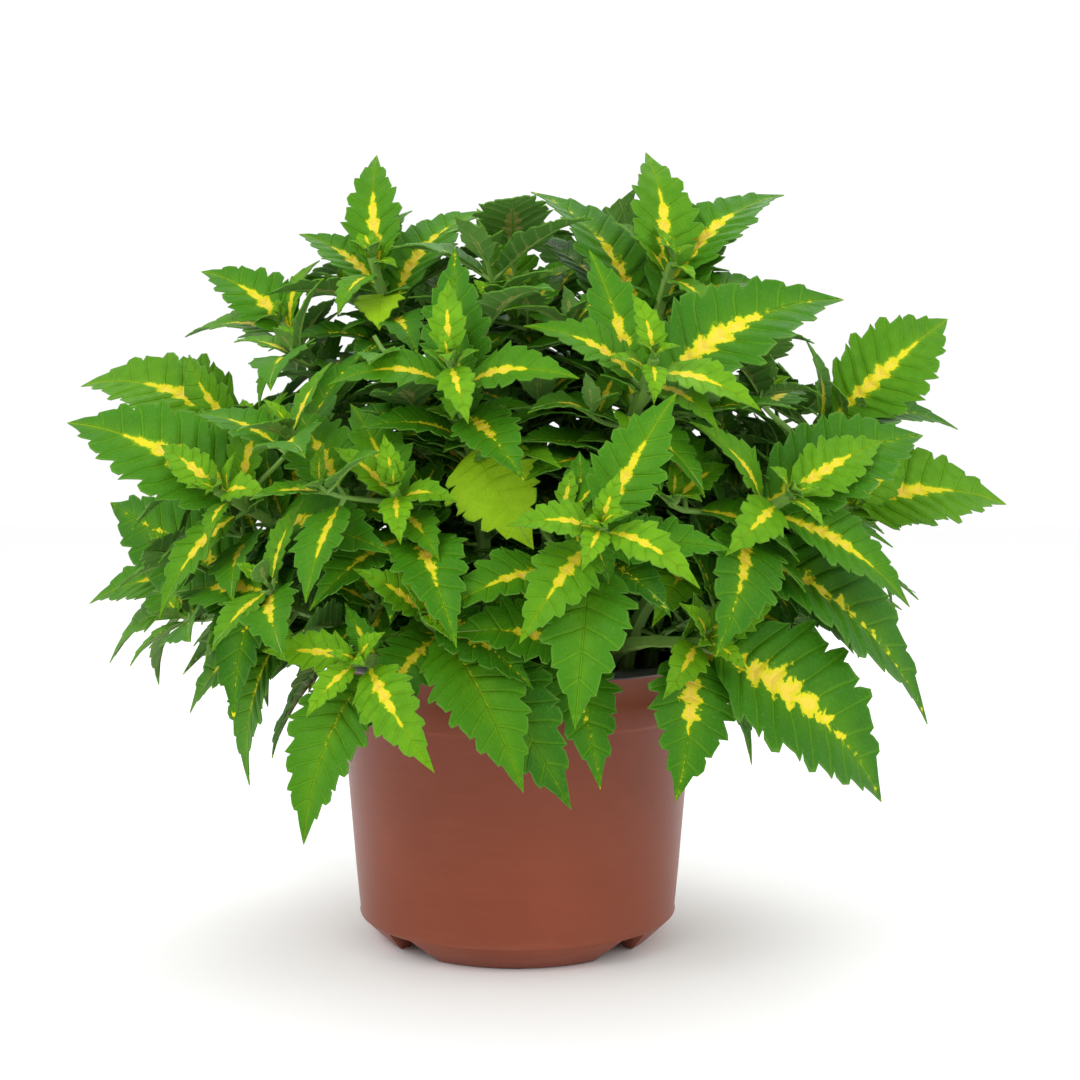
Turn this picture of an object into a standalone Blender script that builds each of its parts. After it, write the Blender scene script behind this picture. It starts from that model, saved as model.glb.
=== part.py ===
# A potted coleus: a nursery pot with an outward lip and four feet, potting soil up
# to a finger below the lip, and the leafy stems that stand in plain holes in the soil.
# The pot's front is at -Y; every length is given in millimetres and scaled once.
import math
import random

import bmesh
import bpy
from mathutils import Matrix, Vector
from mathutils.bvhtree import BVHTree

MM = 0.001
SEED = 11

# The pot: (radius, height) down the outside from the lip, then up the inside.
POT_STEPS = 40
SOIL_STEPS = 20
POT_OUTSIDE = [
    (63.6, 100.0), (65.0, 99.0), (65.0, 97.2), (63.1, 96.6), (63.1, 79.8),
    (62.2, 79.2), (56.1, 9.4), (56.5, 8.7), (47.8, 0.0),
]
POT_INSIDE = [
    (43.5, 0.0), (43.0, 8.4), (0.0, 8.4), (0.0, 10.6), (53.9, 10.6), (60.9, 96.0), (61.6, 100.0),
]
FOOT_GAP_WIDTH = 11.0
FOOT_GAP_TOP = 8.0

# The soil: a plug that follows the pot's inside, 0.3 mm clear of it.
SOIL_BOTTOM = 11.0
SOIL_EDGE = 87.0
SOIL_RISE = 4.0
STEM_FOOT = 70.0
HOLE_CLEARANCE = 0.45

# The stems are square, as they are in the mint family.
STEM_RADIUS = 2.7
STEM_TIP_RADIUS = 1.7
STEM_RINGS = 7

# The leaves: share of the length taken by the stalk, the half fold along the
# midrib in degrees, the midrib's arch as a share of the length and its thickness.
STALK_SHARE = 0.12
STALK_WIDTH = 2.4
BLADE_FOLD = 13.0
MIDRIB_ARCH = 0.17
MIDRIB_THICKNESS = 1.3
WIDTH_SHARE = 0.41
CLEAR_BY = 0.45
SMALLEST_LEAF = 15.0

# Teeth a side: one up to the first length, two up to the second and so on.
TEETH_LIMITS = [30.0, 50.0, 72.0]

# How far down the stem each leaf of a shoot stands and how far its tip lies
# ahead of the growing tip, from the innermost pair to the outermost.
PAIR_DOWN = [3.0, 7.0, 14.0, 24.0, 36.0, 50.0, 66.0]
TIP_AHEAD = [8.0, 3.0, -5.0, -14.0, -24.0, -34.0]

# Where the front view is seen from.
EYE = (8.0, -570.0, 165.5)

# Shoots seen in the photo. Each has its growing tip (x, y, z), the bearing it
# faces (0 to the front, 90 to the right), the rise it faces at, and its leaf tips
# across and up from the growing tip as the front view shows them, innermost first;
# a third number widens a leaf.
SEEN_SHOOTS = {
    "stem_left_front": [
        {
            "tip": (-96, -55, 158), "face": (-35, 25),
            "leaves": [
                (-18, 15), (17, -1), (7, 12), (-3, -17), (23, 32), (-19, -41),
                (-48, 22), (56, -20), (50, 47), (5, -75),
            ],
        },
    ],
    "stem_left_low": [
        {
            "tip": (-48, -88, 107), "face": (-22, 10),
            "leaves": [(9, 9), (-15, -17), (-28, 3), (24, -34), (-3, 18), (-16, -56)],
        },
        {
            "tip": (-84, -52, 122), "face": (-50, 5),
            "leaves": [(-6, 8), (6, -9), (-17, -20), (15, -22), (-3, -60, 1.2), (-20, -42)],
        },
    ],
    "stem_middle_left": [
        {
            "tip": (-37, -78, 159), "face": (-5, 35),
            "leaves": [(-3, 17), (2, -17), (22, -4), (-19, 13), (-15, 30), (14, -22), (20, -54), (-30, -40)],
        },
    ],
    "stem_front": [
        {
            "tip": (26, -112, 149), "face": (5, 20),
            "leaves": [
                (5, 16), (-6, -13), (-28, 0), (28, -18), (21, 38), (-24, -34), (37, -7),
                (-8, -59, 1.15),
            ],
        },
    ],
    "stem_front_low": [
        {
            "tip": (-27, -84, 121), "face": (8, 20),
            "leaves": [
                (-7, 10), (8, -8), (33, -23, 1.2), (-22, 14), (30, -55, 1.15), (52, -64, 1.1),
                (-22, -40),
            ],
        },
    ],
    "stem_right_front": [
        {
            "tip": (87, -70, 157), "face": (35, 22),
            "leaves": [
                (-7, 9), (10, -10), (28, 17), (-21, -19), (-32, 23), (37, -35), (43, 23),
                (-24, -51), (43, -72), (24, -46),
            ],
        },
    ],
    "stem_right_low": [
        {
            "tip": (60, -78, 112), "face": (25, 12),
            "leaves": [
                (-9, 12), (12, -9), (22, 14), (-14, -18), (-10, -50, 1.3), (54, -50, 1.2),
                (28, -22), (42, -30),
            ],
        },
    ],
    "stem_upper_right": [
        {
            "tip": (43, -78, 199), "face": (12, 38),
            "leaves": [
                (-7, 20), (0, -14), (-13, 2), (33, -16), (-40, 10), (20, -22), (-20, 33),
                (58, 18),
            ],
        },
    ],
    "stem_upper_left": [
        {
            "tip": (-20, -78, 199), "face": (-12, 38),
            "leaves": [
                (0, 24), (6, -20), (-8, 3), (9, 3), (-37, -8), (40, -6), (2, 34), (23, -37),
                (-30, -30),
            ],
        },
    ],
    "stem_top_left": [
        {
            "tip": (-50, -15, 238), "face": (-25, 60),
            "leaves": [
                (-4, 12), (9, -3), (-12, -20), (14, 16), (2, 35, 0.8), (-25, 8), (44, 20, 1.1), (16, -34),
                (-6, -40), (-36, -32),
            ],
        },
        {
            "tip": (-84, 0, 217), "face": (-60, 45),
            "leaves": [(-8, 9), (6, -10), (-34, -5), (14, 22), (-28, 18), (-8, -30)],
        },
    ],
    "stem_top_right": [
        {
            "tip": (52, -35, 234), "face": (20, 58),
            "leaves": [
                (-6, 12), (8, -6), (-20, 13), (14, -18), (37, 22), (-9, 36), (27, 28), (32, -8),
                (-51, 10), (-47, 23), (48, -14), (-18, -32),
            ],
        },
    ],
    "stem_top_middle": [
        {
            "tip": (2, -8, 226), "face": (0, 70),
            "leaves": [(-8, 8), (8, -2), (-26, 10), (24, 12), (-16, 30), (4, -22), (26, 32)],
        },
    ],
    "stem_top_back": [
        {
            "tip": (30, 30, 240), "face": (150, 62),
            "leaves": [(-8, 10), (9, 4), (-26, 12), (22, 24), (-34, 22), (14, 30), (-44, -6), (36, 6)],
        },
        {
            "tip": (-36, 34, 222), "face": (-150, 60),
            "leaves": [(-8, 8), (9, 5), (-26, 10), (20, 16), (-34, -6), (4, 30), (34, 20), (-48, 16)],
        },
    ],
    "stem_right": [
        {
            "tip": (116, -14, 184), "face": (75, 30),
            "leaves": [(-8, 12), (10, -8), (12, 18), (-18, -14), (33, 33), (-16, 26), (30, -12), (37, -5)],
        },
        {
            "tip": (116, -18, 152), "face": (70, 15),
            "leaves": [(6, 10), (4, -12), (26, -6), (18, 18), (53, 1, 1.15), (14, -34)],
        },
    ],
    "stem_left": [
        {
            "tip": (-112, 14, 122), "face": (-80, 10),
            "leaves": [(-8, 10), (-4, -14), (-26, 14), (-20, -36), (-45, -6), (-38, -28), (-37, 31)],
        },
        {
            "tip": (-104, 10, 182), "face": (-75, 30),
            "leaves": [(-6, 11), (4, -10), (-26, -8), (-12, 24), (-54, 13), (-16, -34)],
        },
    ],
}

# Shoots out of the photo's sight, turned about the mound by rule. Each gives the
# bearing and the height angle at which its growing tip lies on the mound.
MOUND_CENTRE = (2.0, 4.0, 118.0)
MOUND_RADII = (112.0, 106.0, 116.0)
HIDDEN_SHOOTS = {
    "stem_back_right": [(118, 6), (112, 36)],
    "stem_back_right_low": [(150, 2), (142, 30)],
    "stem_back": [(178, 10), (172, 44)],
    "stem_back_left_low": [(-150, 2), (-146, 34)],
    "stem_back_left": [(-116, 8), (-112, 38)],
}
HIDDEN_LENGTHS = [34.0, 54.0, 66.0]
HIDDEN_OPENINGS = [56.0, 78.0, 96.0]
HIDDEN_DROOP = [0.04, 0.16, 0.30]
HIDDEN_DOWN = [8.0, 22.0, 42.0]

# Pairs low on the long stems, which close the middle of the plant.
INNER_STEMS = [
    "stem_upper_left", "stem_upper_right", "stem_top_left", "stem_top_middle",
    "stem_top_right", "stem_front", "stem_middle_left", "stem_right_front",
]
INNER_LENGTHS = [46.0, 48.0]
INNER_OPENINGS = [80.0, 92.0]
INNER_DROOP = [0.12, 0.2]
INNER_DOWN = [48.0, 78.0]

# Stems whose leaves make way for all the others.
PLACED_LAST = ["stem_top_back"] + list(HIDDEN_SHOOTS)

# Bends tried until a leaf is clear of its neighbours, the smallest first: swing
# to the side, lift towards the upper face, and the share of the length kept.
SWINGS = [0, 8, -8, 17, -17, 28, -28, 40, -40]
LIFTS = [0, 7, -7, 15, -15, 25, -25, 38, -38]
LENGTHS_KEPT = [1.0, 0.9, 0.78, 0.65]
SLIGHT_BEND = 24


def make_material(name, colour, roughness):
    material = bpy.data.materials.new(name)
    material.use_nodes = True
    shader = material.node_tree.nodes["Principled BSDF"]
    shader.inputs["Base Color"].default_value = (*colour, 1.0)
    shader.inputs["Roughness"].default_value = roughness
    material.diffuse_color = (*colour, 1.0)
    return material


def mesh_object(name, points, faces, material):
    mesh = bpy.data.meshes.new(name)
    mesh.from_pydata([tuple(p) for p in points], [], faces)
    mesh.update()
    obj = bpy.data.objects.new(name, mesh)
    bpy.context.scene.collection.objects.link(obj)
    if material is not None:
        mesh.materials.append(material)
    shape = bmesh.new()
    shape.from_mesh(mesh)
    bmesh.ops.recalc_face_normals(shape, faces=shape.faces)
    shape.to_mesh(mesh)
    shape.free()
    return obj


def apply_modifiers(obj):
    depsgraph = bpy.context.evaluated_depsgraph_get()
    depsgraph.update()
    mesh = bpy.data.meshes.new_from_object(obj.evaluated_get(depsgraph))
    old = obj.data
    obj.modifiers.clear()
    obj.data = mesh
    if old.users == 0 and isinstance(old, bpy.types.Mesh):
        bpy.data.meshes.remove(old)


def turned_solid(name, profile, steps, material):
    # A closed profile in the XZ plane, turned once about Z.
    points = [(r * MM, 0.0, z * MM) for r, z in profile]
    edges = [(i, (i + 1) % len(points)) for i in range(len(points))]
    axis_points = [i for i, p in enumerate(profile) if p[0] == 0.0]
    edges = [e for e in edges if not (e[0] in axis_points and e[1] in axis_points)]
    mesh = bpy.data.meshes.new(name)
    mesh.from_pydata(points, edges, [])
    obj = bpy.data.objects.new(name, mesh)
    bpy.context.scene.collection.objects.link(obj)
    mesh.materials.append(material)
    screw = obj.modifiers.new("turn", "SCREW")
    screw.axis = "Z"
    screw.steps = steps
    screw.render_steps = steps
    screw.use_merge_vertices = True
    screw.merge_threshold = 0.00005
    screw.use_normal_calculate = True
    apply_modifiers(obj)
    shape = bmesh.new()
    shape.from_mesh(obj.data)
    bmesh.ops.remove_doubles(shape, verts=shape.verts, dist=0.00001)
    bmesh.ops.recalc_face_normals(shape, faces=shape.faces)
    for face in shape.faces:
        face.smooth = True
    shape.to_mesh(obj.data)
    shape.free()
    return obj


def join_all(obj, parts, operation):
    # One Boolean takes every object of a collection at once.
    tools = bpy.data.collections.new(obj.name + "_repeats")
    bpy.context.scene.collection.children.link(tools)
    for part in parts:
        for holder in list(part.users_collection):
            holder.objects.unlink(part)
        tools.objects.link(part)
        part.hide_render = True
        part.display_type = "WIRE"
    boolean = obj.modifiers.new("repeats", "BOOLEAN")
    boolean.operation = operation
    boolean.operand_type = "COLLECTION"
    boolean.collection = tools
    boolean.solver = "EXACT"
    boolean.use_self = False
    apply_modifiers(obj)
    for part in list(tools.objects):
        bpy.data.objects.remove(part)
    bpy.data.collections.remove(tools)


def direction(bearing, rise):
    b = math.radians(bearing)
    e = math.radians(rise)
    return Vector((math.sin(b) * math.cos(e), -math.cos(b) * math.cos(e), math.sin(e)))


def soil_top(x, y):
    share = min(1.0, math.hypot(x, y) / 60.0)
    return SOIL_EDGE + SOIL_RISE * math.cos(share * math.pi / 2)


def root_of(tip):
    # Stems that end lower and farther out are rooted nearer the pot's wall.
    reach = math.hypot(tip.x, tip.y)
    share = 0.42 * (1.35 - 0.35 * (tip.z - 100.0) / 100.0)
    radius = min(47.0, reach * share + 2.0)
    return Vector((tip.x / reach * radius, tip.y / reach * radius, 0.0))


def bezier(points, t):
    s = 1.0 - t
    a, b, c, d = points
    return a * s ** 3 + b * (3 * s * s * t) + c * (3 * s * t * t) + d * t ** 3


def stem_line(start, tip, facing, upright):
    reach = (tip - start).length
    first = start + Vector((0, 0, 1)) * reach * 0.42 if upright else start + facing * reach * 0.25
    handles = [start, first, tip - facing * reach * 0.34, tip]
    return [bezier(handles, i / (STEM_RINGS - 1)) for i in range(STEM_RINGS)]


def place_down(line, distance):
    # The point a given distance back along the line from its end.
    left = distance
    for i in range(len(line) - 1, 0, -1):
        step = line[i] - line[i - 1]
        if left <= step.length:
            return line[i] - step.normalized() * left
        left -= step.length
    return line[0].copy()


def blade_half_width(t):
    # Ovate with a drawn-out tip: 0 at the stalk, 1 at the widest, 0 at the tip.
    return math.sin(math.pi * t ** 0.68) ** 1.05 * (1.0 - 0.16 * t ** 3)


class Leaf:
    def __init__(self, base, tip, up, teeth, wide, arch):
        self.base = base
        self.tip = tip
        self.up = up
        self.teeth = teeth
        self.wide = wide
        self.arch = arch

    def bent(self, swing, lift, kept):
        way = (self.tip - self.base) * kept
        side = way.cross(self.up).normalized()
        turn = Matrix.Rotation(math.radians(swing), 3, self.up)
        rise = Matrix.Rotation(math.radians(lift), 3, side)
        return Leaf(self.base, self.base + turn @ (rise @ way), rise @ self.up, self.teeth,
                    self.wide, self.arch)

    def frame(self, t):
        way = self.tip - self.base
        length = way.length
        up = (self.up - way.normalized() * self.up.dot(way.normalized())).normalized()
        middle = self.base + way * 0.45 + up * length * self.arch * 2.0
        s = 1.0 - t
        point = self.base * s * s + middle * (2 * s * t) + self.tip * t * t
        along = ((middle - self.base) * s + (self.tip - middle) * t).normalized()
        side = along.cross(up).normalized()
        return point, side, side.cross(along).normalized()

    def half_width(self, t):
        blade = (t - STALK_SHARE) / (1.0 - STALK_SHARE)
        length = (self.tip - self.base).length
        stalk = STALK_WIDTH / 2 * min(1.0, length / 40.0 + 0.35)
        return max(stalk, blade_half_width(max(blade, 0.0)) * length * self.wide / 2)

    def solid(self, swell=0.0):
        # Two faces with the same triangles, thick along the midrib and sharp at
        # the toothed edge. The edge steps in at each notch and out at each tooth.
        first = STALK_SHARE + (1 - STALK_SHARE) * 0.17
        last = STALK_SHARE + (1 - STALK_SHARE) * 0.87
        foot = [0.0, STALK_SHARE] if self.teeth > 2 else [0.0]
        ribs = (self.teeth + 1) // 2
        middles = foot + [first + (last - first) * i / ribs for i in range(ribs + 1)]
        rims = [(t, 1.0 if t > 0 else 0.6) for t in foot] + [(first, 0.95)]
        for i in range(self.teeth):
            step = (last - first) / self.teeth
            rims.append((first + step * (i + 0.68), 1.06))
            rims.append((first + step * (i + 1), 0.88))
        fold = math.radians(BLADE_FOLD)
        points = []

        def add(point):
            points.append(point * MM)
            return len(points) - 1

        top = []
        bottom = []
        for t in middles:
            point, side, up = self.frame(t)
            thick = MIDRIB_THICKNESS / 2 + swell
            top.append(add(point + up * thick))
            bottom.append(add(point - up * thick))
        end = add(self.tip + (self.tip - self.base).normalized() * swell)
        faces = []
        roots = {top[0], bottom[0]}
        for sign in (-1.0, 1.0):
            edges = []
            for t, factor in rims:
                point, side, up = self.frame(t)
                reach = self.half_width(t) * factor + swell
                lift = reach * math.sin(fold) if t > STALK_SHARE else 0.0
                edges.append(add(point + side * sign * reach * math.cos(fold) + up * lift))
            for middle in (top, bottom):
                faces += zipped(middle, middles, edges, [t for t, factor in rims])
                faces.append((middle[-1], edges[-1], end))
            faces.append((top[0], bottom[0], edges[0]))
            roots.add(edges[0])
        return points, faces, roots

    def trees(self, swell=0.0):
        # The whole leaf, and the leaf without the foot that is sunk in its stem.
        points, faces, roots = self.solid(swell)
        points = [tuple(p) for p in points]
        blade = [face for face in faces if not roots.intersection(face)]
        return BVHTree.FromPolygons(points, faces), BVHTree.FromPolygons(points, blade)


def zipped(inner, inner_places, outer, outer_places):
    # Triangles between two rows of points, always taking the nearer next point.
    faces = []
    i = 0
    j = 0
    while i < len(inner) - 1 or j < len(outer) - 1:
        if i == len(inner) - 1:
            outward = True
        elif j == len(outer) - 1:
            outward = False
        else:
            outward = outer_places[j + 1] <= inner_places[i + 1]
        if outward:
            faces.append((inner[i], outer[j], outer[j + 1]))
            j += 1
        else:
            faces.append((inner[i], outer[j], inner[i + 1]))
            i += 1
    return faces


def teeth_for(length):
    for teeth, limit in enumerate(TEETH_LIMITS, 1):
        if length < limit:
            return teeth
    return len(TEETH_LIMITS) + 1


def seen_leaves(shoot, line, chance):
    tip = Vector(shoot["tip"])
    facing = direction(*shoot["face"])
    leaves = []
    for i, (across, up, *widened) in enumerate(shoot["leaves"]):
        pair = min(i // 2, len(TIP_AHEAD) - 1)
        reach = math.hypot(across, up)
        depth = TIP_AHEAD[pair] - across * facing.x - up * facing.z
        depth /= facing.y if abs(facing.y) > 0.2 else -0.2
        limit = (0.62 if facing.y < -0.45 else 0.4) * reach + 4.0
        depth = max(-limit, min(limit, depth))
        seen = tip + Vector((across, 0, up))
        end = seen + (seen - Vector(EYE)) * (depth / (seen.y - EYE[1]))
        base = place_down(line, PAIR_DOWN[pair])
        way = (end - base).normalized()
        normal = facing + Vector((0, 0, 0.35))
        if abs(normal.normalized().dot(way)) > 0.95:
            normal = Vector((0, 0, 1))
        normal = (normal - way * normal.dot(way)).normalized()
        wide = WIDTH_SHARE * chance.uniform(0.94, 1.1) * (widened[0] if widened else 1.0)
        arch = MIDRIB_ARCH * chance.uniform(0.6, 1.15)
        long = (end - base).length
        if long > SMALLEST_LEAF:
            leaves.append(Leaf(base, end, normal, teeth_for(long), wide, arch))
    return leaves


def ruled_leaves(facing, line, chance, order, lengths, openings, droops, downs):
    # Opposite pairs, each turned a quarter from the last.
    side = facing.cross(Vector((0, 0, 1))).normalized()
    over = side.cross(facing)
    start = chance.uniform(-25, 25) + 45 * (order % 2)
    size = chance.uniform(0.9, 1.08)
    leaves = []
    for pair, length in enumerate(lengths):
        for half in (0, 1):
            turn = math.radians(start + 90 * pair + 180 * half + chance.uniform(-9, 9))
            out = side * math.cos(turn) + over * math.sin(turn)
            opening = math.radians(openings[pair] + chance.uniform(-6, 6))
            long = length * size * chance.uniform(0.9, 1.08)
            base = place_down(line, downs[pair])
            end = base + (facing * math.cos(opening) + out * math.sin(opening)) * long
            end.z -= long * droops[pair]
            way = (end - base).normalized()
            normal = facing + Vector((0, 0, 0.35))
            normal = (normal - way * normal.dot(way)).normalized()
            wide = WIDTH_SHARE * chance.uniform(0.92, 1.1)
            arch = MIDRIB_ARCH * chance.uniform(0.7, 1.15)
            leaves.append(Leaf(base, end, normal, teeth_for(long), wide, arch))
    return leaves


def mound_point(bearing, height):
    flat = direction(bearing, height)
    return Vector([c + r * f for c, r, f in zip(MOUND_CENTRE, MOUND_RADII, flat)])


def plan_stems():
    # For every leafy stem: its lines, and for every shoot the leaves wanted on it.
    chance = random.Random(SEED)
    stems = {}
    for name, shoots in SEEN_SHOOTS.items():
        stems[name] = {"lines": [], "leaves": []}
        for order, shoot in enumerate(shoots):
            tip = Vector(shoot["tip"])
            facing = direction(*shoot["face"])
            line = add_line(stems[name], tip, facing, order)
            stems[name]["leaves"].append(seen_leaves(shoot, line, chance))
        if name in INNER_STEMS:
            upward = (stems[name]["lines"][0][5] - stems[name]["lines"][0][2]).normalized()
            stems[name]["inner"] = ruled_leaves(
                upward, stems[name]["lines"][0], chance, len(stems), INNER_LENGTHS,
                INNER_OPENINGS, INNER_DROOP, INNER_DOWN,
            )
    for name, shoots in HIDDEN_SHOOTS.items():
        stems[name] = {"lines": [], "leaves": []}
        for order, (bearing, height) in enumerate(shoots):
            tip = mound_point(bearing, height)
            facing = direction(bearing + chance.uniform(-8, 8), 12 + height * 0.7)
            line = add_line(stems[name], tip, facing, order)
            stems[name]["leaves"].append(ruled_leaves(
                facing, line, chance, order, HIDDEN_LENGTHS, HIDDEN_OPENINGS, HIDDEN_DROOP,
                HIDDEN_DOWN,
            ))
    return stems


def add_line(stem, tip, facing, order):
    if order == 0:
        root = root_of(tip)
        stem["root"] = root
        start = root + Vector((0, 0, soil_top(root.x, root.y) + 3.0))
        line = [root + Vector((0, 0, STEM_FOOT))] + stem_line(start, tip, facing, True)
    else:
        start = stem["lines"][0][3]
        line = stem_line(start, tip, facing, False)
    stem["lines"].append(line)
    return line


def stem_tube(name, line, thick, thin, material):
    curve = bpy.data.curves.new(name, "CURVE")
    curve.dimensions = "3D"
    curve.bevel_depth = 1.0 * MM
    curve.bevel_resolution = 0
    curve.use_fill_caps = True
    spline = curve.splines.new("POLY")
    spline.points.add(len(line) - 1)
    for i, point in enumerate(line):
        share = i / (len(line) - 1)
        spline.points[i].co = (*(point * MM), 1.0)
        spline.points[i].radius = thick + (thin - thick) * share
    tube = bpy.data.objects.new(name, curve)
    bpy.context.scene.collection.objects.link(tube)
    depsgraph = bpy.context.evaluated_depsgraph_get()
    depsgraph.update()
    mesh = bpy.data.meshes.new_from_object(tube.evaluated_get(depsgraph))
    bpy.data.objects.remove(tube)
    bpy.data.curves.remove(curve)
    shape = bmesh.new()
    shape.from_mesh(mesh)
    bmesh.ops.remove_doubles(shape, verts=shape.verts, dist=0.00001)
    bmesh.ops.recalc_face_normals(shape, faces=shape.faces)
    shape.to_mesh(mesh)
    shape.free()
    mesh.materials.clear()
    mesh.materials.append(material)
    obj = bpy.data.objects.new(name, mesh)
    bpy.context.scene.collection.objects.link(obj)
    return obj


def tree_of(obj):
    return BVHTree.FromPolygons(
        [tuple(v.co) for v in obj.data.vertices], [tuple(p.vertices) for p in obj.data.polygons]
    )


def bend_size(bend):
    swing, lift, kept = bend
    return abs(swing) + abs(lift) + 70 * (1 - kept)


def bends():
    every = [(s, l, k) for s in SWINGS for l in LIFTS for k in LENGTHS_KEPT]
    return sorted(every, key=bend_size)


def bend_clear(stems, stem_trees, fixed_trees):
    # Leaf by leaf, inner pairs first, the first bend that is clear of every other
    # stem, its leaves, the pot and the soil; failing that the leaf is left off.
    placed = {name: [] for name in stems}
    queue = []
    for name, stem in stems.items():
        for shoot, leaves in enumerate(stem["leaves"]):
            for i, leaf in enumerate(leaves):
                queue.append((name in PLACED_LAST, i // 2, name, leaf))
        for leaf in stem.get("inner", []):
            queue.append((True, 0, name, leaf))
    queue.sort(key=lambda entry: entry[:2])
    kept = []
    order = bends()
    slight = [bend for bend in order if bend_size(bend) <= SLIGHT_BEND]
    for hidden, pair, name, leaf in queue:
        chosen = None
        tries = [(True, slight), (False, slight), (True, order), (False, order)]
        for strict, choice in tries:
            for bend in choice:
                trial = leaf.bent(*bend)
                if is_clear(trial, name, placed, stem_trees, fixed_trees, strict):
                    chosen = trial
                    break
            if chosen:
                break
        if chosen:
            centre = (chosen.base + chosen.tip) / 2
            reach = (chosen.tip - chosen.base).length * 0.62
            placed[name].append((centre, reach, *chosen.trees()))
            kept.append((name, chosen))
    print("leaves wanted", len(queue), "kept", len(kept))
    return kept


def is_clear(leaf, name, placed, stem_trees, fixed_trees, strict):
    around, around_blade = leaf.trees(CLEAR_BY)
    centre = (leaf.base + leaf.tip) / 2
    reach = (leaf.tip - leaf.base).length * 0.62
    if any(around.overlap(tree) for tree in fixed_trees):
        return False
    for other, trees in stem_trees.items():
        if other != name and any(around.overlap(tree) for tree in trees):
            return False
    if strict and any(around_blade.overlap(tree) for tree in stem_trees[name]):
        return False
    for other, entries in placed.items():
        if other == name and not strict:
            continue
        for other_centre, other_reach, whole, blade in entries:
            if (other_centre - centre).length > reach + other_reach:
                continue
            if other != name and around.overlap(whole):
                return False
            if other == name and around_blade.overlap(blade):
                return False
    return True


def build_pot(material):
    pot = turned_solid("pot", POT_OUTSIDE + POT_INSIDE, POT_STEPS, material)
    gaps = []
    for turn in (45, 135, 225, 315):
        bpy.ops.mesh.primitive_cube_add(size=1.0)
        cutter = bpy.context.active_object
        cutter.name = "foot_gap"
        for vertex in cutter.data.vertices:
            spread = 1.0 if vertex.co.z > 0 else 2.0
            vertex.co.x = (vertex.co.x * 26.0 + 51.0) * MM
            vertex.co.y *= FOOT_GAP_WIDTH * spread * MM
            vertex.co.z = (FOOT_GAP_TOP if vertex.co.z > 0 else -2.0) * MM
        cutter.data.transform(Matrix.Rotation(math.radians(turn), 4, "Z"))
        gaps.append(cutter)
    join_all(pot, gaps, "DIFFERENCE")
    return pot


def build_soil(material, roots):
    low_radius, low = POT_INSIDE[4]
    high_radius, high = POT_INSIDE[5]
    slope = (high_radius - low_radius) / (high - low)
    inside_low = low_radius + slope * (SOIL_BOTTOM - low) - 0.35
    inside_high = low_radius + slope * (SOIL_EDGE - low) - 0.35
    top = []
    for share in (0.66,):
        radius = 60.0 * share
        top.append((radius, SOIL_EDGE + SOIL_RISE * math.cos(share * math.pi / 2)))
    profile = [(0.0, SOIL_EDGE + SOIL_RISE)] + top[::-1]
    profile += [(inside_high, SOIL_EDGE), (inside_low, SOIL_BOTTOM), (0.0, SOIL_BOTTOM)]
    soil = turned_solid("soil", profile, SOIL_STEPS, material)
    holes = []
    for root in roots:
        radius = (STEM_RADIUS + HOLE_CLEARANCE) * MM
        bpy.ops.mesh.primitive_cylinder_add(vertices=6, radius=radius, depth=40.0 * MM)
        hole = bpy.context.active_object
        hole.name = "stem_hole"
        shift = Matrix.Translation(Vector((root.x, root.y, STEM_FOOT - 0.4 + 20.0)) * MM)
        hole.data.transform(shift)
        hole.location = (0, 0, 0)
        holes.append(hole)
    join_all(soil, holes, "DIFFERENCE")
    return soil


def keep_largest(obj):
    # A hollow sealed where leaves cross is filled, and a scrap is dropped.
    shape = bmesh.new()
    shape.from_mesh(obj.data)
    islands = []
    seen = set()
    for vertex in shape.verts:
        if vertex in seen:
            continue
        island = [vertex]
        seen.add(vertex)
        for member in island:
            for edge in member.link_edges:
                other = edge.other_vert(member)
                if other not in seen:
                    seen.add(other)
                    island.append(other)
        islands.append(island)
    islands.sort(key=len)
    for island in islands[:-1]:
        bmesh.ops.delete(shape, geom=island, context="VERTS")
    shape.to_mesh(obj.data)
    shape.free()


def build_stems(stems, kept, tubes, leaf_material):
    for name, parts in tubes.items():
        first = parts[0]
        repeats = parts[1:]
        number = 0
        for owner, leaf in kept:
            if owner == name:
                number += 1
                points, faces, roots = leaf.solid()
                repeats.append(mesh_object(f"{name}_leaf_{number}", points, faces, leaf_material))
        join_all(first, repeats, "UNION")
        keep_largest(first)
        first.name = name


def stand_at_origin():
    # The origin is the middle of the whole plant's box, at the height of the feet.
    points = [v.co for o in bpy.data.objects for v in o.data.vertices]
    middle = [(min(p[i] for p in points) + max(p[i] for p in points)) / 2 for i in range(2)]
    shift = Matrix.Translation((-middle[0], -middle[1], 0.0))
    for obj in bpy.data.objects:
        obj.data.transform(shift)


def main():
    for obj in list(bpy.data.objects):
        bpy.data.objects.remove(obj)
    plastic = make_material("terracotta_plastic", (0.28, 0.075, 0.038), 0.42)
    earth = make_material("potting_soil", (0.035, 0.022, 0.015), 0.95)
    green = make_material("coleus_leaf", (0.075, 0.26, 0.018), 0.5)
    stems = plan_stems()
    pot = build_pot(plastic)
    soil = build_soil(earth, [stem["root"] for stem in stems.values()])
    tubes = {}
    stem_trees = {}
    for name, stem in stems.items():
        tubes[name] = []
        for order, line in enumerate(stem["lines"]):
            thick = STEM_RADIUS if order == 0 else STEM_RADIUS * 0.72
            part = stem_tube(f"{name}_stalk_{order}", line, thick, STEM_TIP_RADIUS, green)
            tubes[name].append(part)
        stem_trees[name] = [tree_of(part) for part in tubes[name]]
    kept = bend_clear(stems, stem_trees, [tree_of(pot), tree_of(soil)])
    build_stems(stems, kept, tubes, green)
    stand_at_origin()
    print("triangles", sum(len(p.vertices) - 2 for o in bpy.data.objects for p in o.data.polygons))


main()
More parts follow.
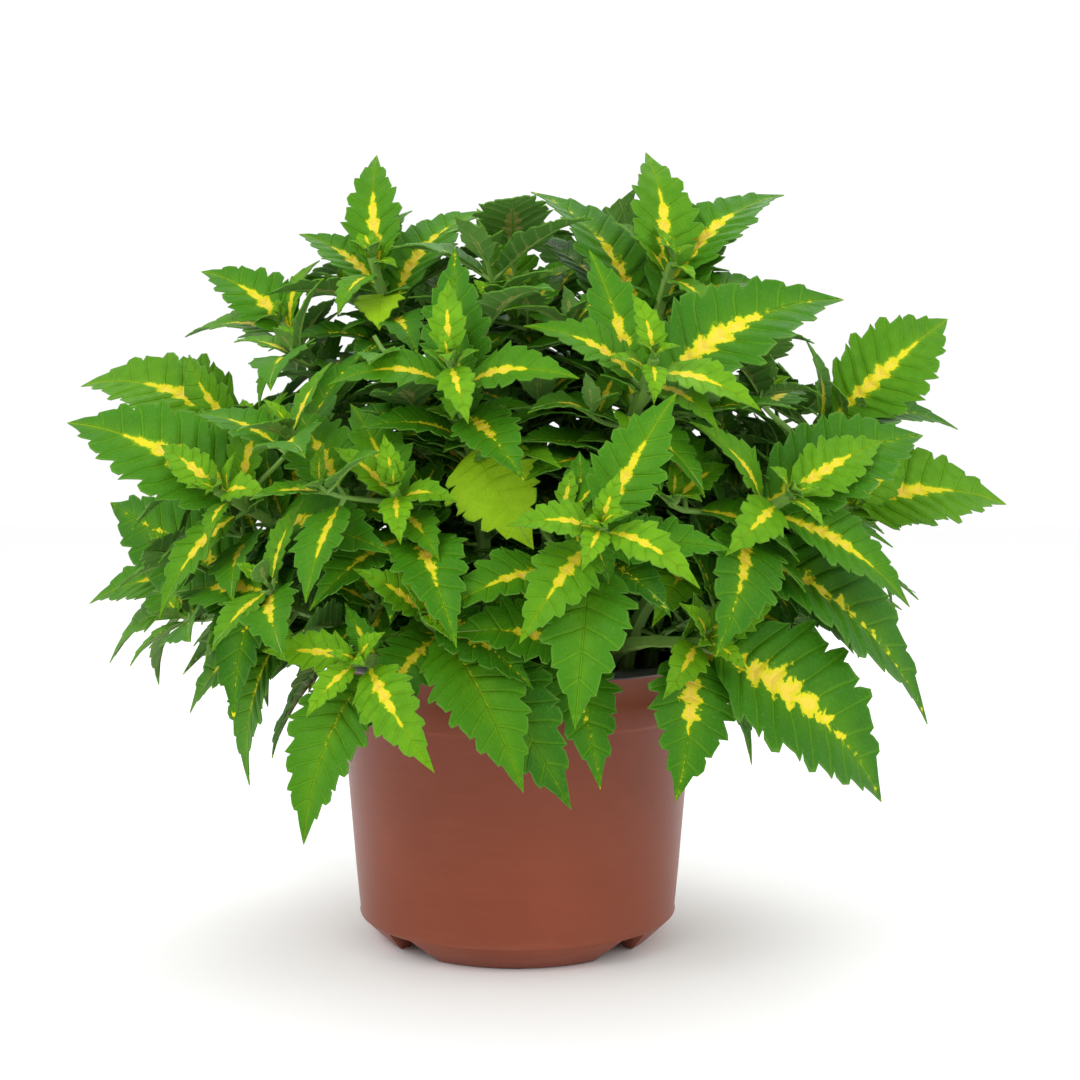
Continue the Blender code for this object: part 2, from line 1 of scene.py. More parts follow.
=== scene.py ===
# A bushy coleus with yellow-streaked leaves in a 13 cm nursery pot.
import math
import random

import bpy
import numpy as np
from mathutils import Euler, Matrix, Vector, noise
from mathutils.bvhtree import BVHTree
from mathutils.kdtree import KDTree


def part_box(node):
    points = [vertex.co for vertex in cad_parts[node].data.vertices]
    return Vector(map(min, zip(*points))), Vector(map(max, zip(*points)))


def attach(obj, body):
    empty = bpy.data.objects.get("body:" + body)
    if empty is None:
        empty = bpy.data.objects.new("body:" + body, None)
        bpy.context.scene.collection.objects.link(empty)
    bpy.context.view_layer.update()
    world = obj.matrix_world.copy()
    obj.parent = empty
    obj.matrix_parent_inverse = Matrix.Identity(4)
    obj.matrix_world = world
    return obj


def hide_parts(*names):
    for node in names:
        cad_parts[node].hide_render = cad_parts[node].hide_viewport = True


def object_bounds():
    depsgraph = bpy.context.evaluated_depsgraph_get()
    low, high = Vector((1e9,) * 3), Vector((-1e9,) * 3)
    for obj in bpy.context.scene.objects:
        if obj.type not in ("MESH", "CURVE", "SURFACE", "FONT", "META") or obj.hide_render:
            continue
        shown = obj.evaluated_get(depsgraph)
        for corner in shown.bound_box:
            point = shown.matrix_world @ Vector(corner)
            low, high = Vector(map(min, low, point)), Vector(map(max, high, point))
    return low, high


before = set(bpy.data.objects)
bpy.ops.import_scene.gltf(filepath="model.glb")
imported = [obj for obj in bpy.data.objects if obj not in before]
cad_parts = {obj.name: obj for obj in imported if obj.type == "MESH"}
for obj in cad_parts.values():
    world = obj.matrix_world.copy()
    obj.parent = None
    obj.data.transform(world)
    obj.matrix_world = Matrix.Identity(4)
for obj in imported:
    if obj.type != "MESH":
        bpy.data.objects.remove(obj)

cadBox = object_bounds()
mm = 0.001
potLow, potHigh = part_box("pot")
potCentre = Vector(((potLow.x + potHigh.x) / 2, (potLow.y + potHigh.y) / 2, 0.0))

# Stems seen in the photo, by shoot: where its growing tip is, the bearing and rise it
# faces at, and its leaf tips across and up from there, innermost first, some with a
# share of the usual width. All in millimetres from the pot's axis on the ground.
seenShoots = {
    "stem_left_front": [((-96, -55, 158), (-35, 25), [
        (-18, 15), (17, -1), (7, 12), (-3, -17), (23, 32), (-19, -41), (-48, 22), (56, -20),
        (50, 47), (5, -75),
    ])],
    "stem_left_low": [((-48, -88, 107), (-22, 10), [
        (9, 9), (-15, -17), (-28, 3), (24, -34), (-3, 18), (-16, -56),
    ]), ((-84, -52, 122), (-50, 5), [
        (-6, 8), (6, -9), (-17, -20), (15, -22), (-3, -60, 1.2), (-20, -42),
    ])],
    "stem_middle_left": [((-37, -78, 159), (-5, 35), [
        (-3, 17), (2, -17), (22, -4), (-19, 13), (-15, 30), (14, -22), (20, -54), (-30, -40),
    ])],
    "stem_front": [((26, -112, 149), (5, 20), [
        (5, 16), (-6, -13), (-28, 0), (28, -18), (21, 38), (-24, -34), (37, -7), (-8, -59, 1.15),
    ])],
    "stem_front_low": [((-27, -84, 121), (8, 20), [
        (-7, 10), (8, -8), (33, -23, 1.2), (-22, 14), (30, -55, 1.15), (52, -64, 1.1), (-22, -40),
    ])],
    "stem_right_front": [((87, -70, 157), (35, 22), [
        (-7, 9), (10, -10), (28, 17), (-21, -19), (-32, 23), (37, -35), (43, 23), (-24, -51),
        (43, -72), (24, -46),
    ])],
    "stem_right_low": [((60, -78, 112), (25, 12), [
        (-9, 12), (12, -9), (22, 14), (-14, -18), (-10, -50, 1.3), (54, -50, 1.2), (28, -22),
        (42, -30),
    ])],
    "stem_upper_right": [((43, -78, 199), (12, 38), [
        (-7, 20), (0, -14), (-13, 2), (33, -16), (-40, 10), (20, -22), (-20, 33), (58, 18),
    ])],
    "stem_upper_left": [((-20, -78, 199), (-12, 38), [
        (0, 24), (6, -20), (-8, 3), (9, 3), (-37, -8), (40, -6), (2, 34), (23, -37), (-30, -30),
    ])],
    "stem_top_left": [((-50, -15, 238), (-25, 60), [
        (-4, 12), (9, -3), (-12, -20), (14, 16), (2, 35, 0.8), (-25, 8), (44, 20, 1.1), (16, -34),
        (-6, -40), (-36, -32),
    ]), ((-84, 0, 217), (-60, 45), [
        (-8, 9), (6, -10), (-34, -5), (14, 22), (-28, 18), (-8, -30),
    ])],
    "stem_top_right": [((52, -35, 234), (20, 58), [
        (-6, 12), (8, -6), (-20, 13), (14, -18), (37, 22), (-9, 36), (27, 28), (32, -8),
        (-51, 10), (-47, 23), (48, -14), (-18, -32),
    ])],
    "stem_top_middle": [((2, -8, 226), (0, 70), [
        (-8, 8), (8, -2), (-26, 10), (24, 12), (-16, 30), (4, -22), (26, 32),
    ])],
    "stem_top_back": [((30, 30, 240), (150, 62), [
        (-8, 10), (9, 4), (-26, 12), (22, 24), (-34, 22), (14, 30), (-44, -6), (36, 6),
    ]), ((-36, 34, 222), (-150, 60), [
        (-8, 8), (9, 5), (-26, 10), (20, 16), (-34, -6), (4, 30), (34, 20), (-48, 16),
    ])],
    "stem_right": [((116, -14, 184), (75, 30), [
        (-8, 12), (10, -8), (12, 18), (-18, -14), (33, 33), (-16, 26), (30, -12), (37, -5),
    ]), ((116, -18, 152), (70, 15), [
        (6, 10), (4, -12), (26, -6), (18, 18), (53, 1, 1.15), (14, -34),
    ])],
    "stem_left": [((-112, 14, 122), (-80, 10), [
        (-8, 10), (-4, -14), (-26, 14), (-20, -36), (-45, -6), (-38, -28), (-37, 31),
    ]), ((-104, 10, 182), (-75, 30), [
        (-6, 11), (4, -10), (-26, -8), (-12, 24), (-54, 13), (-16, -34),
    ])],
}

# Shoots at the back, by the bearing and height angle where they leave the mound.
moundCentre = (2.0, 4.0, 118.0)
moundRadii = (112.0, 106.0, 116.0)
hiddenShoots = {
    "stem_back_right": [(118, 6), (112, 36)],
    "stem_back_right_low": [(150, 2), (142, 30)],
    "stem_back": [(178, 10), (172, 44)],
    "stem_back_left_low": [(-150, 2), (-146, 34)],
    "stem_back_left": [(-116, 8), (-112, 38)],
}
# Leaf pairs by rule: length, opening in degrees, droop and how far down the stem.
hiddenRule = [(34.0, 56.0, 0.04, 8.0), (54.0, 78.0, 0.16, 22.0), (66.0, 96.0, 0.30, 42.0)]
innerRule = [(46.0, 80.0, 0.12, 48.0), (48.0, 92.0, 0.2, 78.0)]
innerStems = [
    "stem_upper_left", "stem_upper_right", "stem_top_left", "stem_top_middle",
    "stem_top_right", "stem_front", "stem_middle_left", "stem_right_front",
]
plan = {
    "seed": 11,
    "eye": (8.0, -570.0, 165.5),  # where the photo was taken from
    "soilEdge": 87.0,
    "soilRise": 4.0,
    "soilDome": 60.0,
    "stemFoot": 70.0,
    "rootSpread": 0.42,  # how far out a stem roots, as a share of its tip's reach
    "rootPull": 0.35,  # how much less for each 100 mm of height
    "rootMost": 47.0,
    "stemRings": 7,
    "handles": {"foot": 0.42, "branch": 0.25, "tip": 0.34},
    "stalkShare": 0.12,
    "arch": 0.17,
    "wide": 0.41,
    "faceUp": 0.35,  # how much the leaves of a shoot turn their faces up
    "solidFrom": 15.0,  # shorter leaves have no solid of their own
    "pairDown": [3.0, 7.0, 14.0, 24.0, 36.0, 50.0, 66.0],
    "tipAhead": [8.0, 3.0, -5.0, -14.0, -24.0, -34.0],
    # The most depth of a leaf, as shares of its reach, on shoots facing the eye and others.
    "depthShares": (0.62, 0.4),
    "facingEye": -0.45,
    "depthFree": 4.0,
    "leastSlope": 0.2,
    "swings": [0, 8, -8, 17, -17, 28, -28, 40, -40],
    "lifts": [0, 7, -7, 15, -15, 25, -25, 38, -38],
    "kept": [1.0, 0.9, 0.78, 0.65],
}


def direction(bearing, rise):
    b = math.radians(bearing)
    e = math.radians(rise)
    return Vector((math.sin(b) * math.cos(e), -math.cos(b) * math.cos(e), math.sin(e)))


def sidesOf(axis, upright=(0, 0, 1)):
    side = axis.cross(Vector(upright)).normalized()
    return side, side.cross(axis)


def opened(axis, sides, turn, opening):
    # Where a leaf goes that is turned round its shoot and opened from it, in degrees.
    turn, opening = math.radians(turn), math.radians(opening)
    out = sides[0] * math.cos(turn) + sides[1] * math.sin(turn)
    return axis * math.cos(opening) + out * math.sin(opening)


def opposite(first, pairs):
    # Each pair's number and contents, once a leaf, with the turn of the leaf in degrees.
    for i, pair in enumerate(pairs):
        for half in (0, 1):
            yield i, pair, first + 90 * i + 180 * half


def soilTop(x, y):
    share = min(1.0, math.hypot(x, y) / plan["soilDome"])
    return plan["soilEdge"] + plan["soilRise"] * math.cos(share * math.pi / 2)


def rootOf(tip):
    reach = math.hypot(tip.x, tip.y)
    pull = plan["rootPull"]
    share = plan["rootSpread"] * (1.0 + pull - pull * (tip.z - 100.0) / 100.0)
    radius = min(plan["rootMost"], reach * share + 2.0)
    return Vector((tip.x / reach * radius, tip.y / reach * radius, 0.0))


def stemLine(start, tip, facing, upright):
    reach = (tip - start).length
    handles = plan["handles"]
    first = facing * reach * handles["branch"]
    if upright:
        first = Vector((0, 0, 1)) * reach * handles["foot"]
    a, b, c, d = start, start + first, tip - facing * reach * handles["tip"], tip
    line = []
    for i in range(plan["stemRings"]):
        t = i / (plan["stemRings"] - 1)
        s = 1.0 - t
        line.append(a * s ** 3 + b * (3 * s * s * t) + c * (3 * s * t * t) + d * t ** 3)
    return line


def placeDown(line, distance):
    left = distance
    for i in range(len(line) - 1, 0, -1):
        step = line[i] - line[i - 1]
        if left <= step.length:
            return line[i] - step.normalized() * left
        left -= step.length
    return line[0].copy()


def wayAt(line, distance):
    ahead = placeDown(line, max(0.0, distance - 4)) - placeDown(line, distance + 4)
    return ahead.normalized()


def lyingOn(facing, way, edgeOn=0.95):
    # The upper face's direction for a leaf that goes that way from its shoot.
    normal = facing + Vector((0, 0, plan["faceUp"]))
    if abs(normal.normalized().dot(way)) > edgeOn:
        normal = Vector((0, 0, 1))
    return (normal - way * normal.dot(way)).normalized()


def newLeaf(base, tip, up, wide, arch, **more):
    # Width and arch are shares of the usual ones.
    return {"base": base, "tip": tip, "up": up, "exact": 0, "wide": plan["wide"] * wide,
            "arch": plan["arch"] * arch, **more}


def seenLeaves(tip, facing, tips, line, chance):
    eye = Vector(plan["eye"])
    leaves = []
    for i, (across, up, *widened) in enumerate(tips):
        pair = min(i // 2, len(plan["tipAhead"]) - 1)
        depth = plan["tipAhead"][pair] - across * facing.x - up * facing.z
        slope = plan["leastSlope"]
        depth /= facing.y if abs(facing.y) > slope else -slope
        most = plan["depthShares"][0 if facing.y < plan["facingEye"] else 1]
        limit = most * math.hypot(across, up) + plan["depthFree"]
        depth = max(-limit, min(limit, depth))
        seen = tip + Vector((across, 0, up))
        end = seen + (seen - eye) * (depth / (seen.y - eye.y))
        base = placeDown(line, plan["pairDown"][pair])
        wide = chance.uniform(0.94, 1.1) * (widened[0] if widened else 1.0)
        leaves.append(newLeaf(
            base, end, lyingOn(facing, (end - base).normalized()), wide,
            chance.uniform(0.6, 1.15), pair=pair,
            solid=(end - base).length > plan["solidFrom"],
        ))
    return leaves


def ruledLeaves(facing, line, chance, order, rule):
    sides = sidesOf(facing)
    start = chance.uniform(-25, 25) + 45 * (order % 2)
    size = chance.uniform(0.9, 1.08)
    leaves = []
    for pair, (length, opening, droop, down), turn in opposite(start, rule):
        way = opened(facing, sides, turn + chance.uniform(-9, 9),
                     opening + chance.uniform(-6, 6))
        long = length * size * chance.uniform(0.9, 1.08)
        base = placeDown(line, down)
        end = base + way * long
        end.z -= long * droop
        leaves.append(newLeaf(
            base, end, lyingOn(facing, (end - base).normalized(), 1.0),
            chance.uniform(0.92, 1.1), chance.uniform(0.7, 1.15), pair=pair + 2, solid=True,
        ))
    return leaves


def addLine(stem, tip, facing, order):
    if order == 0:
        root = rootOf(tip)
        start = root + Vector((0, 0, soilTop(root.x, root.y) + 3.0))
        line = [root + Vector((0, 0, plan["stemFoot"]))] + stemLine(start, tip, facing, True)
    else:
        line = stemLine(stem["lines"][0][3], tip, facing, False)
    stem["lines"].append(line)
    stem["facings"].append(facing)
    return line


def planStems():
    chance = random.Random(plan["seed"])
    stems = {name: {"lines": [], "facings": [], "leaves": []}
             for name in [*seenShoots, *hiddenShoots]}
    for count, (name, shoots) in enumerate(seenShoots.items(), 1):
        stem = stems[name]
        for order, (tip, face, tips) in enumerate(shoots):
            tip, facing = Vector(tip), direction(*face)
            line = addLine(stem, tip, facing, order)
            stem["leaves"] += seenLeaves(tip, facing, tips, line, chance)
        if name in innerStems:
            line = stem["lines"][0]
            upward = (line[5] - line[2]).normalized()
            stem["leaves"] += ruledLeaves(upward, line, chance, count, innerRule)
    for name, shoots in hiddenShoots.items():
        for order, (bearing, height) in enumerate(shoots):
            flat = direction(bearing, height)
            tip = Vector([c + r * f for c, r, f in zip(moundCentre, moundRadii, flat)])
            facing = direction(bearing + chance.uniform(-8, 8), 12 + height * 0.7)
            line = addLine(stems[name], tip, facing, order)
            stems[name]["leaves"] += ruledLeaves(facing, line, chance, order, hiddenRule)
    return stems


def selectOnly(*objs):
    bpy.ops.object.select_all(action="DESELECT")
    for obj in objs:
        obj.select_set(True)
    bpy.context.view_layer.objects.active = objs[0]


def editAll():
    bpy.ops.object.mode_set(mode="EDIT")
    bpy.ops.mesh.select_all(action="SELECT")


def raiseSelected(rise):
    bpy.ops.mesh.extrude_region_move(TRANSFORM_OT_translate={"value": (0, 0, rise)})


def closeShape():
    # Out of edit mode, with every face turned outwards.
    bpy.ops.mesh.select_all(action="SELECT")
    bpy.ops.mesh.normals_make_consistent(inside=False)
    bpy.ops.object.mode_set(mode="OBJECT")


def applyAll(obj):
    selectOnly(obj)
    for modifier in list(obj.modifiers):
        bpy.ops.object.modifier_apply(modifier=modifier.name)


def joined(name, objs):
    selectOnly(*objs)
    bpy.ops.object.join()
    obj = bpy.context.view_layer.objects.active
    obj.name = name
    obj.data.name = name
    return obj


def giveFinishes(obj, *finishes):
    obj.data.materials.clear()
    for finish in finishes:
        obj.data.materials.append(finish)


def finished(obj, node, sharpFrom):
    # Smooths a piece up to an angle, puts it on its body and hides the solid it stands for.
    selectOnly(obj)
    bpy.ops.object.shade_smooth_by_angle(angle=math.radians(sharpFrom))
    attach(obj, "root")
    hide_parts(node)


def cornersOf(obj):
    places = np.empty(len(obj.data.vertices) * 3)
    obj.data.vertices.foreach_get("co", places)
    return places.reshape(-1, 3)


class Wire:
    # A socket of a material. Sums, products and the like of wires add Math nodes.
    def __init__(self, tree, socket=None):
        self.tree = tree
        self.socket = socket

    def node(self, kind, settings, sockets, out=0):
        made = self.tree.nodes.new("ShaderNode" + kind)
        for name, value in settings.items():
            setattr(made, name, value)
        for name, value in sockets.items():
            if isinstance(value, Wire):
                self.tree.links.new(value.socket, made.inputs[name])
            elif isinstance(value, tuple) and made.inputs[name].type == "RGBA":
                made.inputs[name].default_value = (*value, 1.0)
            else:
                made.inputs[name].default_value = value
        return Wire(self.tree, made.outputs[out])

    def maths(self, operation, *values):
        return self.node("Math", {"operation": operation}, dict(enumerate(values)))

    def __add__(self, other):
        return self.maths("ADD", self, other)

    def __sub__(self, other):
        return self.maths("SUBTRACT", self, other)

    def __rsub__(self, other):
        return self.maths("SUBTRACT", other, self)

    def __mul__(self, other):
        return self.maths("MULTIPLY", self, other)

    def __abs__(self):
        return self.maths("ABSOLUTE", self)

    __radd__ = __add__

    def fraction(self):
        return self.maths("FRACT", self)

    def least(self, other):
        return self.maths("MINIMUM", self, other)

    def most(self, other):
        return self.maths("MAXIMUM", self, other)

    def between(self, low, high):
        # 0 up to low, 1 from high on, and smooth in between.
        sockets = {"Value": self, "From Min": low, "From Max": high}
        return self.node("MapRange", {"interpolation_type": "SMOOTHSTEP"}, sockets)

    def colours(self, first, second):
        # The first colour where this wire is 0, the second where it is 1.
        return self.node("Mix", {"data_type": "RGBA"}, {0: self, 6: first, 7: second}, 2)

    def part(self, axis):
        return self.node("SeparateXYZ", {}, {0: self}, axis)

    def stretched(self, scale):
        return self.node("Mapping", {}, {"Vector": self, "Scale": scale})

    def speckle(self, scale, detail=3.0, roughness=0.6):
        # Noise at the places that this wire gives.
        sockets = {"Vector": self, "Scale": scale, "Detail": detail, "Roughness": roughness}
        return self.node("TexNoise", {}, sockets)

    def relief(self, strength, distance):
        sockets = {"Height": self, "Strength": strength, "Distance": distance}
        return self.node("Bump", {}, sockets)


def newFinish(name, **constants):
    # A material with a Principled shader, and the wire of the places on its object.
    material = bpy.data.materials.new(name)
    material.use_nodes = True
    shader = material.node_tree.nodes["Principled BSDF"]
    for socket, value in constants.items():
        shader.inputs[socket.replace("_", " ")].default_value = value
    return material, shader, Wire(material.node_tree).node("TexCoord", {}, {}, 3)


def coated(colour, *coats):
    # Each coat is a wire, how much of it there is, and its colour.
    for amount, coat in coats:
        colour = amount.colours(colour, coat)
    return colour


def feed(shader, **wires):
    for socket, wire in wires.items():
        wire.tree.links.new(wire.socket, shader.inputs[socket.replace("_", " ")])


pot = {
    "sides": 96,
    "underside": (43.0, 8.4),  # radius and height of the recessed bottom
    # Radius and height of each ring, from the foot up the outside and down the inside.
    "rings": [
        (43.5, 0.4), (43.9, 0.0), (47.2, 0.0), (48.0, 0.5), (56.2, 8.3), (56.45, 8.9),
        (56.2, 9.5), (57.6, 24.0), (59.1, 42.0), (60.6, 60.0), (62.1, 78.6), (62.35, 79.4),
        (62.9, 79.8), (63.1, 80.4), (63.1, 88.0), (63.15, 96.3), (63.5, 96.8), (64.6, 97.0),
        (65.0, 97.5), (65.0, 98.9), (64.6, 99.7), (63.7, 100.0), (62.1, 100.0), (61.5, 99.6),
        (61.2, 98.8), (60.9, 96.0), (57.4, 54.0), (54.2, 14.0), (53.6, 11.8), (52.4, 10.6),
    ],
    "insideFrom": 10.0,
    # The gaps in the foot: along, across and up, and the middle's reach from the axis.
    "footGap": (26.0, 11.0, 8.0),
    "footGapReach": 51.0,
    "footGapSpread": 2.0,  # how much wider a gap is at the ground
    "footGapTurns": [45, 135, 225, 315],
    "edge": 0.35,
    "darkFrom": 97.05,  # the lip from here up and the inside are black
    "sharpFrom": 38,
    "clay": (0.196, 0.038, 0.013),
    "clayPale": (0.228, 0.049, 0.019),
    "dust": (0.33, 0.17, 0.12),
    "black": (0.018, 0.017, 0.018),
    "blackWorn": (0.040, 0.039, 0.042),
    "grime": (0.05, 0.035, 0.025),
}


def clayFinish():
    material, shader, place = newFinish("terracotta_plastic", Specular_IOR_Level=0.3)
    cloud = place.speckle(22.0, 3.0, 0.55)
    grain = place.speckle(900.0, 2.0)
    streaks = place.stretched((1.0, 1.0, 9.0)).speckle(46.0, 4.0)
    tone = cloud.between(0.35, 0.7) * 0.7 + streaks.between(0.4, 0.75) * 0.3
    low = (place.part(2) * -38.0 + 0.55).most(0.0).least(1.0)
    dust = low * streaks.between(0.45, 0.7) * 0.3
    feed(shader, Base_Color=coated(pot["clay"], (tone, pot["clayPale"]), (dust, pot["dust"])),
         Roughness=0.36 + tone * 0.07 + dust * 0.3,
         Normal=(grain * 0.6 + streaks * 0.5).relief(0.12, 0.0004))
    return material


def blackFinish():
    material, shader, place = newFinish("black_plastic")
    scuffs = place.speckle(160.0, 5.0, 0.65).between(0.5, 0.75)
    grime = place.speckle(35.0, 3.0, 0.5).between(0.45, 0.7)
    colour = coated(pot["black"], (scuffs * 0.6, pot["blackWorn"]), (grime * 0.35, pot["grime"]))
    feed(shader, Base_Color=colour, Roughness=0.36 + scuffs * 0.25,
         Normal=scuffs.relief(0.15, 0.0003))
    return material


def makePot():
    radius, height = pot["underside"]
    bpy.ops.mesh.primitive_circle_add(
        vertices=pot["sides"], radius=radius * mm, fill_type="NGON",
        location=(potCentre.x, potCentre.y, height * mm),
    )
    obj = bpy.context.object
    editAll()
    for nextRadius, nextHeight in pot["rings"]:
        share = nextRadius / radius
        raiseSelected((nextHeight - height) * mm)
        centre = (potCentre.x, potCentre.y, nextHeight * mm)
        bpy.ops.transform.resize(value=(share, share, 1.0), center_override=centre)
        radius, height = nextRadius, nextHeight
    closeShape()
    bpy.ops.object.transform_apply(location=True, rotation=True, scale=True)
    for turn in pot["footGapTurns"]:
        gap = footGap(turn)
        cut = obj.modifiers.new("foot_gap", "BOOLEAN")
        cut.operation = "DIFFERENCE"
        cut.solver = "EXACT"
        cut.object = gap
        applyAll(obj)
        bpy.data.objects.remove(gap)
    bevel = obj.modifiers.new("edge", "BEVEL")
    bevel.width = pot["edge"] * mm
    bevel.segments = 2
    bevel.limit_method = "ANGLE"
    bevel.angle_limit = math.radians(50)
    applyAll(obj)
    giveFinishes(obj, clayFinish(), blackFinish())
    for face in obj.data.polygons:
        middle = Vector(face.center) - potCentre
        outwards = Vector((middle.x, middle.y, 0)).dot(face.normal) > 0
        inside = middle.z > pot["insideFrom"] * mm and not outwards
        face.material_index = int(inside or middle.z > pot["darkFrom"] * mm)
    obj.name = "nursery_pot"
    finished(obj, "pot", pot["sharpFrom"])


def footGap(turn):
    bpy.ops.mesh.primitive_cube_add(size=1.0)
    gap = bpy.context.object
    along, across, high = pot["footGap"]
    for corner in gap.data.vertices:
        low = corner.co.z < 0
        corner.co.x = (corner.co.x * along + pot["footGapReach"]) * mm
        corner.co.y *= across * (pot["footGapSpread"] if low else 1.0) * mm
        corner.co.z = (-2.0 if low else high) * mm
    gap.data.transform(Matrix.Rotation(math.radians(turn), 4, "Z"))
    gap.data.transform(Matrix.Translation(potCentre))
    return gap


soil = {
    "radius": 60.0,
    "edgeHeight": 87.0,
    "bottomRadius": 53.5,
    "bottom": 11.0,
    "sides": 48,
    "cuts": 13,
    "lumps": [(0.11, 0.9), (0.33, 0.6), (0.8, 0.35)],  # how fine and how strong
    "lumpHeight": 1.5,
    "settled": 0.4,
    "crumbs": 460,
    "crumbReach": 59.0,
    "crumbSize": (0.7, 2.5),
    "sharpFrom": 55,
    "seed": 5,
    "dark": (0.016, 0.010, 0.007),
    "brown": (0.060, 0.034, 0.020),
    "pale": (0.20, 0.14, 0.09),
}


def soilFinish():
    material, shader, place = newFinish("potting_soil", Specular_IOR_Level=0.2)
    clods = place.speckle(190.0, 5.0, 0.65)
    damp = place.speckle(30.0, 3.0, 0.5).between(0.4, 0.65)
    bits = place.stretched((1.0, 4.0, 1.0)).speckle(420.0, 2.0, 0.4).between(0.66, 0.72)
    colour = coated(soil["dark"], (clods.between(0.35, 0.7), soil["brown"]),
                    (damp * 0.45, soil["dark"]), (bits * 0.7, soil["pale"]))
    feed(shader, Base_Color=colour, Roughness=0.98 - damp * 0.25,
         Normal=clods.relief(0.8, 0.0015))
    return material


def soilHeight(x, y):
    # Crumbly ground, domed a little towards the middle.
    lump = sum(noise.noise(Vector((x, y, 3.0)) * fine) * strong for fine, strong in soil["lumps"])
    return soilTop(x, y) + lump * soil["lumpHeight"] - soil["settled"]


def makeSoil():
    chance = random.Random(soil["seed"])
    bpy.ops.mesh.primitive_circle_add(
        vertices=soil["sides"], radius=soil["radius"], fill_type="TRIFAN", location=(0, 0, 0)
    )
    ground = bpy.context.object
    editAll()
    bpy.ops.mesh.subdivide(number_cuts=soil["cuts"])
    bpy.ops.mesh.region_to_loop()
    drop = soil["bottom"] - soil["edgeHeight"]
    share = soil["bottomRadius"] / soil["radius"]
    raiseSelected(drop)
    bpy.ops.transform.resize(value=(share, share, 1.0), center_override=(0, 0, drop))
    bpy.ops.mesh.edge_face_add()
    closeShape()
    for corner in ground.data.vertices:
        if corner.co.z > -1.0:
            corner.co.z = soilHeight(corner.co.x, corner.co.y) - soil["edgeHeight"]
    ground.data.transform(Matrix.Translation((0, 0, soil["edgeHeight"])))
    bpy.ops.mesh.primitive_ico_sphere_add(subdivisions=1, radius=1.0)
    master = bpy.context.object
    for corner in master.data.vertices:
        corner.co *= 1.0 + 0.22 * noise.noise(corner.co * 2.1)
    crumbs = []
    for i in range(soil["crumbs"]):
        reach = soil["crumbReach"] * math.sqrt(chance.random())
        bearing = chance.uniform(0, 2 * math.pi)
        x, y = reach * math.cos(bearing), reach * math.sin(bearing)
        size = chance.uniform(*soil["crumbSize"]) * chance.uniform(0.5, 1.0)
        turned = Euler([chance.uniform(0, 6.3) for axis in range(3)]).to_matrix().to_4x4()
        flat = Matrix.Diagonal((size, size * chance.uniform(0.5, 0.9), size * 0.55, 1.0))
        spot = Matrix.Translation((x, y, soilHeight(x, y) + size * 0.25))
        crumb = copyOf(master)
        crumb.data.transform(spot @ turned @ flat)
        crumbs.append(crumb)
    bpy.data.objects.remove(master)
    obj = joined("potting_soil", [ground, *crumbs])
    obj.data.transform(Matrix.Translation(potCentre) @ Matrix.Scale(mm, 4))
    giveFinishes(obj, soilFinish())
    finished(obj, "soil", soil["sharpFrom"])


leaf = {
    # From each length on: teeth a side, columns of faces and the shape of a tooth.
    "sizes": [
        (0.0, 3, 2, "plain"), (17.0, 4, 2, "plain"), (28.0, 5, 4, "plain"),
        (42.0, 6, 6, "fine"), (58.0, 8, 6, "small"),
    ],
    # A tooth from notch to notch: place, share of the plain width.
    "teeth": {
        "plain": [(0.0, 0.85), (0.30, 1.02), (0.80, 1.10)],
        "fine": [(0.0, 0.84), (0.20, 0.97), (0.55, 1.08), (0.86, 1.10)],
        "small": [(0.0, 0.89), (0.22, 0.98), (0.55, 1.06), (0.86, 1.08)],
    },
    "firstTooth": 0.13,  # as shares of the blade
    "lastTooth": 0.84,
    "widestAt": 0.68,  # a lower power moves the widest place towards the foot
    "slim": 1.05,
    "taper": 0.16,
    "pointAhead": 0.012,
    "veinLag": 0.11,  # how far back along the leaf a side vein leaves the midrib
    "fold": 0.29,
    "roundness": 0.10,
    "quilt": 0.0075,
    "midribSunk": 0.006,
    "wave": 0.016,
    "uneven": 0.09,
    "twist": 0.35,
    "thickness": 0.42,
    "stalkWidth": 2.1,
    "tipDroop": 0.05,
    "ribFrom": 28.0,  # shorter leaves have a coarser rib
    "sharpFrom": 60,
}


def bladeHalfWidth(t):
    belly = math.sin(math.pi * t ** leaf["widestAt"]) ** leaf["slim"]
    return belly * (1.0 - leaf["taper"] * t ** 3)


def edgeRows(teeth, tooth):
    # Along the margin: place on the leaf, share of the plain width, count of veins.
    stalk = plan["stalkShare"]
    first = stalk + (1 - stalk) * leaf["firstTooth"]
    last = stalk + (1 - stalk) * leaf["lastTooth"]
    step = (last - first) / teeth
    rows = [(stalk, 1.0, -0.9), (stalk + (1 - stalk) * 0.06, 1.0, -0.45)]
    for i in range(teeth):
        for k, (place, share) in enumerate(tooth):
            share = 0.95 if i == 0 and k == 0 else share
            rows.append((first + step * (i + place), share, i + k / len(tooth)))
    beyond = last + (1.0 - last) * 0.42
    return rows + [(last, 0.88, teeth), (beyond, 0.92, teeth + 0.5), (1.0, 0.0, teeth + 1.0)]


